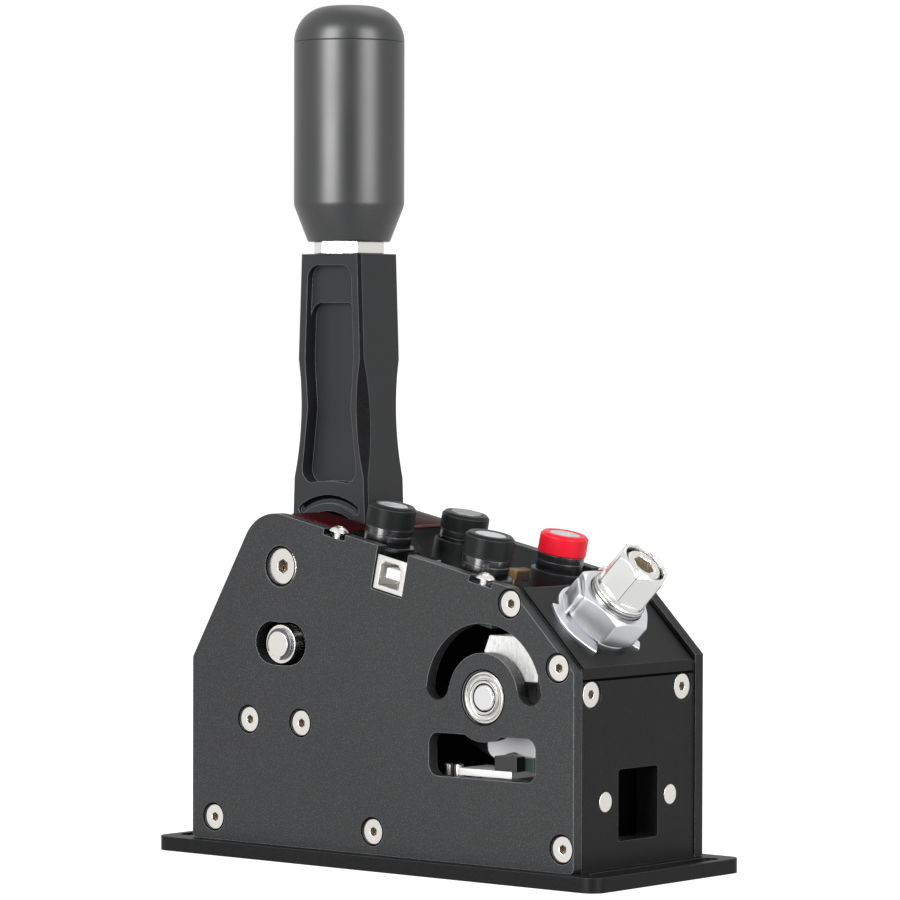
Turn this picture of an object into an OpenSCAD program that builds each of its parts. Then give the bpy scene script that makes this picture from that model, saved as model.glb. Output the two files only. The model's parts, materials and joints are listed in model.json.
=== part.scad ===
// Sequential gear shifter for sim racing: a plate housing, a lever, a shift cam and a sprung detent.
// Millimetres. X is across, +Y points to the rear, +Z is up.
// The origin is the centre of the base plate's underside.

/* [Base plate] */
// Length of the base plate, front to rear
base_l = 178; // [174:1:190]
// Width of the base plate
base_w = 74; // [70:1:90]
// Thickness of the base plate
base_t = 4.5; // [3:0.5:8]
// Corner radius of the base plate
base_r = 5; // [2:0.5:10]
// End-to-end length of the slot in each end flange
slot_l = 60; // [30:1:64]
// Width of the slots
slot_w = 6.5; // [5:0.1:7.5]
// From the end edge to the slot's centre line
slot_inset = 6; // [5:0.1:7]

/* [Side plates] */
// Clear width between the side plates
inner_w = 56; // [54:1:64]
// Thickness of a side plate
plate_t = 4; // [3.5:0.1:6]
// Length of a side plate
plate_l = 154; // [150:1:160]
// Height of the front edge above the base plate
front_h = 59.5; // [57:0.5:64]
// Rise of the 45 degree nose edge
nose_rise = 24.5; // [23:0.5:27]
// Slope of the top edge in degrees
slope_a = 12; // [10:0.5:14]
// Height of the rear edge above the base plate
rear_h = 57.5; // [54:0.5:60]
// Lean of the rear edge in degrees
rear_a = 60; // [57:0.5:62]
// Radius of the top corner
top_r = 14; // [6:0.5:16]
// Radius of the other corners
corner_r = 1.5; // [0.5:0.1:3]

/* [Windows] */
// Width of the lower window
window_w = 41.5; // [30:0.5:44]
// Height of the lower window
window_h = 13.2; // [10:0.1:14]
// Drop from the cam axis to the top of the lower window
window_drop = 11.4; // [11:0.1:13]
// Corner radius of the lower window
window_r = 3.5; // [1:0.1:4.5]
// Offset of the lower window's middle from the cam axis
window_off = 0.5; // [-1:0.1:2]
// Ring of metal left round the cam bearing
bearing_web = 5.5; // [4:0.1:6]
// Width of the arc window
arc_w = 8.9; // [5:0.1:9.5]

/* [Panels and rails] */
// Thickness of the front panel
panel_t = 8; // [7:0.1:10]
// Set-back of the panels from the ends of the side plates
panel_inset = 0.4; // [0.2:0.1:1]
// Height of the front panel
panel_h = 57; // [54:0.5:57]
// Width of the front window
port_w = 19.6; // [14:0.1:22]
// Height of the front window
port_h = 21.6; // [14:0.1:24]
// Height of the front window's foot above the base plate
port_z = 7.9; // [6:0.1:10]
// Distance between the dowel pins
dowel_pitch = 32; // [31:0.5:33]
// Height of the dowel pins above the base plate
dowel_z = 20.2; // [17:0.1:24]
// Thickness of the 45 degree nose block
nose_t = 8; // [7:0.1:9]
// How far the nose block stands proud of the plates' edge
nose_proud = 0.6; // [0.2:0.1:1]
// Thickness of the bent rear cover
rear_t = 2.5; // [1.5:0.1:2.6]
// Height of the rails on the base plate
rail_h = 14; // [12:0.5:18]
// Height of the bottom screw row above the base plate
rail_screw_z = 7; // [6:0.1:8]
// Place of the middle rail along Y
mid_y = 1.5; // [-3:0.5:5]

/* [Lever] */
// Place of the lever's pivot along Y
pivot_y = 39.5; // [38:0.1:40]
// Drop of the pivot below the top edge of the plates
pivot_drop = 16.2; // [15.5:0.1:17]
// Width of the lever
lever_w = 18; // [17:0.1:20]
// Top of the lever above its pivot
lever_h = 98; // [90:1:110]
// Depth of the lever at its top
lever_top_d = 26.2; // [24:0.1:28]
// Height of the hip above the pivot
hip_h = 64.7; // [60:0.1:68]
// Depth of the lever at the hip
hip_d = 28.8; // [26:0.1:30]
// Height of the waist above the pivot
waist_h = 49.2; // [45:0.1:54]
// Depth of the lever at the waist
waist_d = 26.4; // [24:0.1:28]
// Height of the foot above the pivot
foot_h = 27.2; // [26:0.1:29]
// Depth of the lever at the foot
foot_d = 32; // [30:0.1:32.6]
// Chamfer of the long edges
edge_c = 1.5; // [0.5:0.1:2]
// Chamfer of the long edges at the waist
waist_c = 3.4; // [2:0.1:3.6]
// Rim left round the side pocket
pocket_rim = 4.2; // [3.8:0.1:6]
// Depth of the side pocket's upper step
pocket_step = 2.4; // [1:0.1:3]
// Depth of the side pocket
pocket_d = 4.8; // [3.5:0.1:5.5]
// Diameter of the pivot shaft
pivot_d = 10; // [9:0.1:11]
// Diameter of the stop pin and of the crank pin
pin_d = 8; // [7:0.1:9]
// Diameter of the rollers on the stop pin
roller_d = 12; // [11:0.1:12.4]
// Distance from a pivot to its link pin
crank_r = 24.3; // [23.5:0.1:25]
// Swing of the lever to each side in degrees
swing = 9.5; // [7:0.1:9.5]

/* [Knob] */
// Diameter of the knob
knob_d = 34.5; // [30:0.5:40]
// Height of the knob
knob_h = 74.1; // [60:0.5:90]
// Diameter of the knob's foot
knob_foot_d = 25.6; // [24:0.1:28]
// Height of the taper above the knob's foot
knob_taper = 11.6; // [8:0.1:14]
// Radius of the knob's crown
crown_r = 11.3; // [8:0.1:12]
// Height of the jam nut under the knob
nut_h = 4.2; // [3:0.1:6]
// Width of the jam nut across its flats
nut_af = 20.4; // [18:0.1:22]

/* [Shift cam] */
// Place of the cam shaft along Y
cam_y = -42.3; // [-43:0.1:-41.5]
// Height of the cam shaft above the base plate
cam_h = 50.5; // [50:0.1:51]
// Diameter of the cam shaft
shaft_d = 8; // [7:0.1:9]
// Outer diameter of a shaft bearing
bearing_d = 16; // [15.5:0.1:17]
// Width of a shaft bearing
bearing_w = 5; // [4:0.1:6]
// Radius of the cam's hub
hub_r = 10; // [9.5:0.1:10.4]
// Reach of the lobed plate below the shaft
lobe_reach = 19.4; // [18:0.1:19.8]
// Distance between the two lobes
lobe_pitch = 14.3; // [12:0.1:15]
// Radius of the detent valley's floor
valley_r = 11.7; // [11.5:0.1:12]
// Radius of the detent roller
detent_r = 3.5; // [3:0.1:3.8]

/* [Adjuster] */
// Offset of the adjuster from the middle
barrel_x = -5.5; // [-6:0.1:-4]
// Thread diameter of the barrel
barrel_d = 16; // [15.5:0.1:16.5]
// How far the barrel stands out of the nose block
barrel_out = 26.5; // [24:0.1:30]
// Length of the barrel's hexagon
hex_l = 11.4; // [10:0.1:13]
// Width of the barrel's hexagon across its flats
hex_af = 14; // [13:0.1:14.4]
// Thickness of the tab washer
washer_t = 1.2; // [0.8:0.1:1.5]
// Diameter of the tab washer
washer_d = 29; // [26:0.5:31]
// Width of the locknut across its flats
lock_af = 22; // [20:0.1:24]
// Height of the locknut
lock_h = 8; // [6:0.1:9]
// Diameter of the preload screw
preload_d = 10; // [9.5:0.1:10.5]
// Wire diameter of the preload spring
wire_d = 1.4; // [1:0.1:1.6]
// Working turns of the preload spring
turns = 6; // [4:1:7]

/* [Buttons] */
// Distance of the buttons from the middle
button_x = 18.3; // [17:0.1:18.4]
// Diameter of the button caps
cap_d = 15.2; // [14.5:0.1:16]
// Diameter of the skirt under a cap
skirt_d = 14.4; // [13:0.1:14.4]
// Travel of a button
button_travel = 1.2; // [0.8:0.1:1.4]
// Depth of the control board below the top edge
board_drop = 13.2; // [13:0.1:14]
// Thickness of the clear cover
cover_t = 2; // [1.5:0.1:2.5]

/* [Hidden] */
$fn = 72;

// Clearances
fit = 0.05;      // running fit and thread clearance, on the radius
press = 0.02;    // seat of a pressed ring, on the radius
gap = 0.3;       // between pieces that pass each other
seam = 0.2;      // between plates that are screwed together
eps = 1;         // how far a cut runs past a face
slack = 0.002;   // keeps a corner's circle off the lines it rounds, so that no sliver is left
end_inset = 0.3; // how far the end circles of a curved slot sit inside its ends

// Screw sizes: diameter, head radius
M3 = [3, 3];
M4 = [4, 4];
M6 = [6, 5.7];
side_recess = 0.5;       // depth of the M4 heads below the plates
pivot_recess = 0.9;      // depth of the M6 heads below the plates
screw_l = 12;
pivot_screw_l = 16;
base_screw_x = 15;
rear_screw_x = 8;
dome_h = 1.7;
notch_w = 9;

// Housing
plate_y = plate_l / 2;
half_w = inner_w / 2;
outer_x = half_w + plate_t;
nose_foot = [-plate_y, base_t + front_h];
nose_top = nose_foot + [nose_rise, nose_rise];
rear_top = [plate_y, base_t + rear_h];
slope_dir = [cos(slope_a), sin(slope_a)];
rear_dir = [-cos(rear_a), sin(rear_a)];
top_corner = meet(nose_top, slope_dir, rear_top, rear_dir);
side_pts = [[-plate_y, base_t], [plate_y, base_t], rear_top, top_corner, nose_top, nose_foot];
side_rs = [corner_r, corner_r, corner_r, top_r, corner_r, corner_r];
round_y = top_corner[0] - top_r / tan((180 - rear_a - slope_a) / 2) * cos(slope_a);
panel_y = -plate_y + panel_inset;
panel_mid = panel_y + panel_t / 2;
panel_top = base_t + panel_h;
panel_screw_x = 22.5;
panel_screw_z = panel_top - 4.3;
dowel_r = 3;
dowel_l = 15.6;
port_mid_z = base_t + port_z + port_h / 2;
port_block_w = 40;
port_block_h = 28;
port_block_z = base_t + 4;
port_rim = 1.8;          // set-back of the block behind the front window
rear_rail_y = 67.8;
rail_half = 6;
rear_face = plate_y - panel_inset;

// Cam axis, and the 45 degree axis of the nose: u points out of the nose, v lies along it
cam_z = base_t + cam_h;
cam = [cam_y, cam_z];
u = [-1, 1] / sqrt(2);
v = [1, 1] / sqrt(2);
nose_edge = (nose_top - cam) * u;
nose_s = nose_edge + nose_proud;
nose_in = nose_s - nose_t;
nose_w = inner_w - 2 * seam;
nose_screw_pitch = 26;
nose_leg_t = 8.6;
nose_leg_h = 11.5;

// Lever, link and crank
pivot_z = slope_z(pivot_y) - pivot_drop;
pivot = [pivot_y, pivot_z];
stop_at = pivot - [0, crank_r];
crank_at = cam - [0, crank_r];
hub_flat = 13.5;
tail_r = 8.5;
fork_half = 5.3;
link_half = fork_half - gap;
eye_r = 8;
link_h = 9;
bush_r = pivot_d / 2 + 1.5;
flange_r = pivot_d / 2 + 3;
flange_t = 1;
slot_half = roller_d / 2 + 0.75;
clip_x = outer_x + fit;
clip_t = 0.8;
clip_d = 0.8;            // depth of the clip's groove
levels = [[lever_h, lever_top_d / 2, edge_c], [hip_h, hip_d / 2, edge_c], [waist_h, waist_d / 2, waist_c],
    [foot_h, foot_d / 2, edge_c], [9.2, foot_d / 2 + 0.4, edge_c], [-2.3, hub_flat - 0.2, 0.5]];
depth_at = [for (i = [len(levels) - 1 : -1 : 0]) [levels[i][0], levels[i][1]]];
pocket_top = lever_h - 3.5;
pocket_floor_top = lever_h - 15.4;
pocket_foot = foot_h - 1.8;
pocket_r = 4.5;
pocket_arch = 46;       // radius of the pocket's arched foot
groove_r = 20.5;
groove_half = 1.35;
groove_d = 1.1;
groove_pitch = 5.1;

// Knob
stud_d = 12;
stud_in = 13.5;
stud_up = 30;
nut_z = pivot_z + lever_h;
knob_z = nut_z + nut_h + seam;

// Stop block
stop_y = 42.05;
stop_z = base_t + 38.75;
stop_pitch = 21.7;
stop_half_h = 6;
ear_t = 5;
bumper_t = 3;
stop_reach = crank_r * sin(swing) + tail_r + 0.9;
ear_x = 6.5;
ear_w = 9.5;
bumper_r = 4.2;

// Cam
fork_slot = 3.3;
sector_half = 2.8;
cheek_t = 4;
cheek_r = 7.5;
lobe_x = -17;
lobe_t = 6;
lobe_hub_r = 9;
cam_end = fork_half + cheek_t;
bearing_x = outer_x - 0.5;
spacer_r = 5.5;

// Plunger and barrel, as distances s along the nose axis from the cam shaft
detent_s = valley_r + gap + detent_r;
fork_foot = valley_r + 0.5;
fork_top = detent_s + detent_r + 0.4 + 3;
fork_r = 7.2;
fork_flat = 5.8;
plunger_travel = 2;
roller_pin_r = 1.5;
stem_in = 2.6;           // how deep the stem sits in the fork
spigot_h = 2.5;
stem_r = 3;
barrel_in = fork_top + plunger_travel + 0.5;
wall_top = barrel_in + 3;
bore_r = preload_d / 2 + fit;
piston_r = bore_r - 0.15;
piston_s = wall_top + gap;
piston_t = 2.8;
spigot_r = 2.5;
spring_s = piston_s + piston_t + gap;
barrel_end = nose_s + barrel_out;
screw_end = barrel_end - 1;
screw_len = 8;
preload_key = 5.5;
preload_key_h = 4.5;
seat_t = 2.5;
seat_s = screw_end - screw_len - gap - seat_t;
spring_top = seat_s - gap;
coil_r = piston_r - wire_d / 2 - 0.15;
hex_s = barrel_end - hex_l;
hex_corner = hex_af / sqrt(3);

// Cover and buttons. Each button: side, place along Y, height of the cap's top, height of the cap
cover_q0 = (nose_top[0] + seam + 0.3) / cos(slope_a);
cover_q1 = round_y / cos(slope_a);
cover_half = half_w - seam;
screw_ys = [17.1, -41.4];
lever_slot_half = lever_w / 2 + 1.8;
lever_slot_y = 20;
button_ys = [7.4, -31.7];
buttons = [[-1, button_ys[0], 10.7, 6.9], [1, button_ys[0], 7, 5.5], [-1, button_ys[1], 11, 7],
    [1, button_ys[1], 10.1, 6.5]];
board_t = 1.6;
board_y0 = -45;
board_y1 = 14;
usb_y = -6.6;
usb_w = 12;
usb_h = 10.6;
usb_l = 16;
usb_depth = 9.5;
usb_x = -outer_x + 0.5;
switch_h = 7.3;
switch_w = 10;
guide_wall = 1.2;

// Guide block of the plunger fork
guide_x0 = -half_w + 0.8;
guide_x1 = barrel_x - fork_flat - gap;
guide_screw_x = -20;
guide_screw_t = 1.5;
guide_head_r = 3.5;
guide_head_s = nose_in - 8;

// Sensor bracket
shelf_z = 32.4;
shelf_x0 = -24;
shelf_x1 = -10.5;
shelf_y0 = -47;
shelf_y1 = -26.3;
sheet_t = 2.2;
bracket_screw_x = -18;
bracket_screw_ys = [-42, -31];

function slope_z(y) = nose_top[1] + (y - nose_top[0]) * tan(slope_a);
function polar(r, a) = r * [cos(a), sin(a)];
function unit(w) = w / norm(w);
// Point where the line from p along d meets the line from q along e
function meet(p, d, q, e) = p + d * cross(q - p, e) / cross(d, e);
function nose_point(s, t) = cam + s * u + t * v;

// A sketch in Y and Z, drawn out along X
module sketch_x(x0, t) translate([x0, 0, 0]) rotate([90, 0, 90]) linear_extrude(t) children();

// A sketch in X and Z, drawn out along Y
module sketch_y(y0, t) translate([0, y0 + t, 0]) rotate([90, 0, 0]) linear_extrude(t) children();

// A round bar along X
module rod(x0, x1, r, at) translate([x0, at[0], at[1]]) rotate([0, 90, 0]) cylinder(h = x1 - x0, r = r);

// A tube along X
module tube(x0, x1, r, bore, at) difference() {
    rod(x0, x1, r, at);
    rod(x0 - eps, x1 + eps, bore, at);
}

// Both sides of the middle plane
module both() {
    children();
    mirror([1, 0, 0]) children();
}

// Local Z square to the sloping top edge, above the point at y
module on_slope(x, y, n = 0) translate([x, y, slope_z(y)]) rotate([slope_a, 0, 0])
    translate([0, 0, n]) children();

// Local Z along the nose axis
module on_nose(x, s) translate([x, cam_y, cam_z]) rotate([45, 0, 0]) translate([0, 0, s]) children();

// Local Z out of the left (-1) or right (1) plate
module on_side(side, at) translate([side * outer_x, at[0], at[1]]) rotate([0, side * 90, 0]) children();

// A polygon whose corners have the radii in rs; a radius of 0 leaves a corner sharp
module rounded(pts, rs) {
    n = len(pts);
    a = [for (i = [0 : n - 1]) unit(pts[(i + n - 1) % n] - pts[i])];
    b = [for (i = [0 : n - 1]) unit(pts[(i + 1) % n] - pts[i])];
    half = [for (i = [0 : n - 1]) acos(a[i] * b[i]) / 2];
    polygon([for (i = [0 : n - 1]) for (p = rs[i] == 0 ? [pts[i]]
        : [pts[i] + a[i] * rs[i] / tan(half[i]), pts[i] + b[i] * rs[i] / tan(half[i])]) p]);
    for (i = [0 : n - 1]) if (rs[i] > 0)
        translate(pts[i] + unit(a[i] + b[i]) * rs[i] / sin(half[i])) circle(rs[i] - slack);
}

module rounded_box(w, l, r) rounded([[-w / 2, -l / 2], [w / 2, -l / 2], [w / 2, l / 2], [-w / 2, l / 2]],
    [r, r, r, r]);

// A curved slot with round ends, about the origin
module arc_slot(r, half, a0, a1) {
    intersection() {
        difference() {
            circle(r + half);
            circle(r - half);
        }
        polygon([[0, 0], for (i = [0 : 4]) polar(2 * (r + half), a0 + (a1 - a0) * i / 4)]);
    }
    inset = end_inset / r * 180 / PI;
    for (a = [a0 + inset, a1 - inset]) translate(polar(r, a)) circle(half - slack);
}

module long_slot(l, w) {
    square([l - w, w], center = true);
    for (x = [-1, 1]) translate([x * (l - w) / 2, 0]) circle(w / 2);
}

// A countersunk socket screw: head at Z 0, shank down
module flat_screw(m, l, key) difference() {
    rotate_extrude() polygon([[0, -l], [m[0] / 2, -l], [m[0] / 2, m[0] / 2 - m[1]], [m[1], 0], [0, 0]]);
    translate([0, 0, -m[0] / 2]) cylinder(h = m[0], r = key / sqrt(3), $fn = 6);
}

// The hole for it, from Z 0 down through t, with the head sunk by recess
module flat_hole(m, recess, t) {
    top = m[1] + recess + fit;
    shank = m[0] / 2 + fit;
    rotate_extrude() polygon([[0, eps], [top, eps], [top, 0], [shank, shank - top], [shank, -t], [0, -t]]);
}

// A domed socket screw
module dome_screw(l) difference() {
    union() {
        intersection() {
            translate([0, 0, dome_h - 3.6]) sphere(3.6);
            cylinder(h = dome_h, r = M3[1]);
        }
        translate([0, 0, -l]) cylinder(h = l, r = M3[0] / 2);
    }
    translate([0, 0, 0.4]) cylinder(h = dome_h, r = 2 / sqrt(3), $fn = 6);
}

// Places of the side screws, on what each one holds
side_screws_at = [nose_point(nose_s - nose_t / 2, nose_screw_pitch / 2),
    nose_point(nose_s - nose_t / 2, -nose_screw_pitch / 2), [rear_rail_y, base_t + rail_screw_z],
    [mid_y, base_t + rail_screw_z], [panel_mid, base_t + rail_screw_z],
    [stop_y - stop_pitch / 2, stop_z], [stop_y + stop_pitch / 2, stop_z]];
base_screw_ys = [panel_mid, mid_y, rear_rail_y];

module side_plate_blank() difference() {
    rounded(side_pts, side_rs);
    translate(cam) {
        circle(bearing_d / 2 + press);
        arc_slot(bearing_d / 2 + bearing_web + arc_w / 2, arc_w / 2, 0, 180);
    }
    difference() {
        translate(cam + [window_off, -window_drop - window_h / 2]) rounded_box(window_w, window_h, window_r);
        translate(cam) circle(bearing_d / 2 + bearing_web - 0.1);
    }
    translate(pivot) arc_slot(crank_r, slot_half, -90 - swing, -90 + swing);
    for (y = screw_ys) translate([y, slope_z(y)]) rotate(slope_a)
        translate([-notch_w / 2, -cover_t]) square([notch_w, cover_t + eps]);
}

module side_plate(side) {
    x0 = side < 0 ? -outer_x : half_w;
    difference() {
        sketch_x(x0, plate_t) side_plate_blank();
        for (at = side_screws_at) on_side(side, at) flat_hole(M4, side_recess, plate_t + eps);
        on_side(side, pivot) flat_hole(M6, pivot_recess, plate_t + eps);
        for (y = screw_ys) on_slope(side * (half_w + plate_t / 2), y, -12)
            cylinder(h = 12, r = M3[0] / 2 + fit);
    }
}

module side_plate_left() color("#2b2c2f") difference() {
    side_plate(-1);
    on_slope(-outer_x - eps, usb_y, -board_drop - 0.4)
        translate([0, -usb_w / 2 - gap, 0]) cube([plate_t + 2 * eps, usb_w + 2 * gap, board_drop + 2]);
}

module side_plate_right() color("#2b2c2f") side_plate(1);

module base_plate() color("#222326") difference() {
    linear_extrude(base_t) difference() {
        rounded_box(base_w, base_l, base_r);
        for (s = [-1, 1]) translate([0, s * (base_l / 2 - slot_inset)]) long_slot(slot_l, slot_w);
    }
    for (y = base_screw_ys) for (s = [-1, 1]) translate([s * base_screw_x, y, 0]) rotate([180, 0, 0])
        flat_hole(M4, side_recess, base_t + eps);
    for (y = bracket_screw_ys) translate([bracket_screw_x, y, -eps])
        cylinder(h = base_t + 2 * eps, r = M3[0] / 2 + fit);
}

module base_screws() color("#c9cacc") for (y = base_screw_ys) for (s = [-1, 1])
    translate([s * base_screw_x, y, side_recess]) rotate([180, 0, 0]) flat_screw(M4, screw_l, 2.5);

// Tapped holes that the side screws and the base screws run into
module tapped_holes() {
    for (side = [-1, 1]) for (at = side_screws_at) on_side(side, at)
        translate([0, 0, -screw_l - side_recess - 0.5]) cylinder(h = screw_l, r = M4[0] / 2 + fit);
    for (y = base_screw_ys) for (s = [-1, 1]) translate([s * base_screw_x, y, 0])
        cylinder(h = screw_l + side_recess + 0.5, r = M4[0] / 2 + fit);
}

module front_panel() color("#1f2022") difference() {
    sketch_y(panel_y, panel_t) difference() {
        translate([-nose_w / 2, base_t]) square([nose_w, panel_h]);
        translate([0, port_mid_z]) rounded_box(port_w, port_h, 1);
    }
    for (s = [-1, 1]) {
        translate([s * panel_screw_x, panel_y, panel_screw_z]) rotate([90, 0, 0])
            flat_hole(M4, side_recess, panel_t + eps);
        translate([s * dowel_pitch / 2, panel_y - eps, base_t + dowel_z]) rotate([-90, 0, 0])
            cylinder(h = panel_t + 2 * eps, r = dowel_r + press);
    }
    tapped_holes();
}

module panel_screws() color("#c9cacc") for (s = [-1, 1])
    translate([s * panel_screw_x, panel_y + side_recess, panel_screw_z]) rotate([90, 0, 0])
        flat_screw(M4, screw_l, 2.5);

module dowel_pins() color("#b9babc") for (s = [-1, 1])
    translate([s * dowel_pitch / 2, panel_y, base_t + dowel_z]) rotate([-90, 0, 0])
        cylinder(h = dowel_l, r = dowel_r);

module port_block() color("#8f9193") difference() {
    sketch_y(panel_y + panel_t, nose_leg_t) difference() {
        translate([-port_block_w / 2, port_block_z]) square([port_block_w, port_block_h]);
        translate([0, port_mid_z]) rounded_box(port_w + 2 * port_rim, port_h + 2 * port_rim, 1);
    }
    for (s = [-1, 1]) translate([s * dowel_pitch / 2, panel_y, base_t + dowel_z]) rotate([-90, 0, 0])
        cylinder(h = panel_t + 2 * nose_leg_t, r = dowel_r + press);
}

// The nose block: a 45 degree plate with a lip on the front panel and a leg behind it
module nose_block() color("#202124") {
    out = nose_point(nose_s, 0);
    tip = meet(out, v, nose_top, slope_dir);
    inner = nose_point(nose_in, 0);
    square_cut = [slope_dir[1], -slope_dir[0]];
    leg_y = panel_y + panel_t + nose_leg_t;
    difference() {
        sketch_x(-nose_w / 2, nose_w) polygon([tip, meet(tip, square_cut, inner, v),
            meet(inner, v, [leg_y, 0], [0, 1]), [leg_y, panel_top - nose_leg_h],
            [panel_y + panel_t, panel_top - nose_leg_h], [panel_y + panel_t, panel_top],
            [panel_y, panel_top], meet(out, v, [panel_y, 0], [0, 1])]);
        on_nose(barrel_x, nose_in - 5) cylinder(h = nose_t + 10, r = barrel_d / 2 + fit);
        for (s = [-1, 1]) translate([s * panel_screw_x, panel_y, panel_screw_z]) rotate([-90, 0, 0])
            cylinder(h = screw_l + 1, r = M4[0] / 2 + fit);
        tapped_holes();
        guide_screw_holes(nose_in - eps, 7);
    }
}

// Bent sheet behind the lever: upright at the foot, then along the plates' slanted edge
module rear_cover() color("#232427") {
    n = [sin(rear_a), cos(rear_a)];
    bend = meet([rear_face, 0], [0, 1], rear_top - n * panel_inset, rear_dir);
    inner = meet([rear_face - rear_t, 0], [0, 1], rear_top - n * (panel_inset + rear_t), rear_dir);
    foot_of_pivot = pivot + n * ((rear_top - pivot) * n - panel_inset);
    tip = foot_of_pivot - rear_dir * 8;
    difference() {
        sketch_x(-nose_w / 2, nose_w) polygon([[rear_face, base_t], bend, tip, tip - n * rear_t, inner,
            [rear_face - rear_t, base_t]]);
        for (s = [-1, 1]) translate([s * rear_screw_x, rear_face + eps, base_t + rail_screw_z])
            rotate([90, 0, 0]) cylinder(h = rear_t + 2 * eps, r = M3[0] / 2 + fit);
    }
}

module rail(y0, y1) difference() {
    translate([-nose_w / 2, y0, base_t]) cube([nose_w, y1 - y0, rail_h]);
    tapped_holes();
}

module mid_rail() color("#1f2022") rail(mid_y - rail_half, mid_y + rail_half);

module rear_rail() color("#1f2022") difference() {
    rail(rear_rail_y - rail_half, rear_face - rear_t);
    for (s = [-1, 1]) translate([s * rear_screw_x, rear_face - rear_t + eps, base_t + rail_screw_z])
        rotate([90, 0, 0]) cylinder(h = 6 + eps, r = M3[0] / 2 + fit);
}

// Clear cover, flush with the top edges: its ears lie in the plates' notches
module top_cover() color([0.55, 0.57, 0.6, 0.4]) difference() {
    on_slope(0, 0, -cover_t) linear_extrude(cover_t) difference() {
        union() {
            translate([-cover_half, cover_q0]) square([2 * cover_half, cover_q1 - cover_q0]);
            for (y = screw_ys) translate([-outer_x, y / cos(slope_a) - notch_w / 2 + seam])
                square([2 * outer_x, notch_w - 2 * seam]);
            translate([-outer_x, usb_y / cos(slope_a) - usb_w / 2 - gap + seam])
                square([outer_x, usb_w + 2 * (gap - seam)]);
        }
        for (b = buttons) translate([b[0] * button_x, b[1] / cos(slope_a)]) circle(skirt_d / 2 + gap);
        translate([-lever_slot_half, lever_slot_y / cos(slope_a)])
            square([2 * lever_slot_half, cover_q1]);
    }
    for (s = [-1, 1]) for (y = screw_ys) on_slope(s * (half_w + plate_t / 2), y, -cover_t - eps)
        cylinder(h = cover_t + 2 * eps, r = M3[0] / 2 + fit);
}

module cover_screws() color("#c9cacc") {
    for (s = [-1, 1]) for (y = screw_ys) on_slope(s * (half_w + plate_t / 2), y) dome_screw(8);
    for (s = [-1, 1]) translate([s * rear_screw_x, rear_face, base_t + rail_screw_z]) rotate([-90, 0, 0])
        dome_screw(8);
}

module control_board() color("#16261c") on_slope(0, 0, -board_drop - board_t)
    translate([-cover_half, board_y0 / cos(slope_a), 0])
        cube([2 * cover_half, (board_y1 - board_y0) / cos(slope_a), board_t]);

module usb_socket() color("#c6c7c8") on_slope(usb_x, usb_y, -board_drop) difference() {
    translate([0, -usb_w / 2, 0]) cube([usb_l, usb_w, usb_h]);
    translate([-eps, 0, usb_h / 2]) rotate([90, 0, 90]) linear_extrude(usb_depth + eps)
        polygon([[-4.2, -3.9], [4.2, -3.9], [4.2, 2.2], [2.6, 3.8], [-2.6, 3.8], [-4.2, 2.2]]);
    for (s = [-1, 1]) translate([-eps, s * usb_w / 2, usb_h]) rotate([45, 0, 0]) translate([0, -1.6, -1.6])
        cube([usb_l + 2 * eps, 3.2, 3.2]);
}

module switch_bodies() color("#1b1b1c") for (b = buttons)
    on_slope(b[0] * button_x, b[1], -board_drop) difference() {
        translate([-switch_w / 2, -switch_w / 2, 0]) cube([switch_w, switch_w, switch_h]);
        translate([0, 0, 1]) cylinder(h = switch_h, r = stem_r + fit);
    }

module button_guides() color("#141415") for (b = buttons)
    on_slope(b[0] * button_x, b[1], -board_drop + seam) difference() {
        cylinder(h = board_drop - cover_t - 2 * seam, r = skirt_d / 2 + gap + guide_wall);
        translate([0, 0, -eps]) cylinder(h = board_drop, r = skirt_d / 2 + gap);
        // clear of the socket beside it
        if (b[0] < 0 && b[1] > usb_y) translate([-board_drop, (usb_y - b[1]) / cos(slope_a) - usb_w, -eps])
            cube([2 * board_drop, usb_w * 1.5 + gap, board_drop]);
    }

// A cap with its skirt through the cover and its stem in the switch
module button_cap(b) on_slope(b[0] * button_x, b[1]) {
    translate([0, 0, b[2] - b[3]]) rotate_extrude()
        polygon([[0, 0], [cap_d / 2 - 0.3, 0], [cap_d / 2, 0.3], [cap_d / 2, b[3] - 0.9],
            [cap_d / 2 - 0.9, b[3]], [5.2, b[3]], [5, b[3] - 0.3], [0, b[3] - 0.3]]);
    translate([0, 0, -3]) cylinder(h = b[2] - b[3] + 3, r = skirt_d / 2);
    translate([0, 0, -board_drop + 1 + button_travel + gap])
        cylinder(h = board_drop - 4 - button_travel, r = stem_r);
}

module button_cap_a() color("#202122") button_cap(buttons[0]);
module button_cap_b() color("#202122") button_cap(buttons[1]);
module button_cap_c() color("#202122") button_cap(buttons[2]);
module button_cap_d() color("#d8202c") button_cap(buttons[3]);

module side_screws() color("#d4d3d0") for (side = [-1, 1]) for (at = side_screws_at)
    on_side(side, at) translate([0, 0, -side_recess]) flat_screw(M4, screw_l, 2.5);

module pivot_screws() color("#d4d3d0") for (side = [-1, 1])
    on_side(side, pivot) translate([0, 0, -pivot_recess]) flat_screw(M6, pivot_screw_l, 4);

module pivot_shaft() color("#b4b6b8") difference() {
    rod(-half_w, half_w, pivot_d / 2, pivot);
    for (s = [-1, 1]) rod(s * (half_w - 7) - 8, s * (half_w - 7) + 8, M6[0] / 2 + fit, pivot);
}

module pivot_spacers() color("#55575a") both()
    tube(lever_w / 2 + flange_t + gap, half_w, flange_r - 0.5, pivot_d / 2 + fit, pivot);

module bearing_outer_rings() color("#cfd0d1") both() {
    tube(bearing_x - bearing_w, bearing_x, bearing_d / 2, bearing_d / 2 - 1.3, cam);
    tube(bearing_x - bearing_w + 0.4, bearing_x - 0.4, bearing_d / 2 - 1.2, bearing_d / 2 - 2.6, cam);
}

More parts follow.
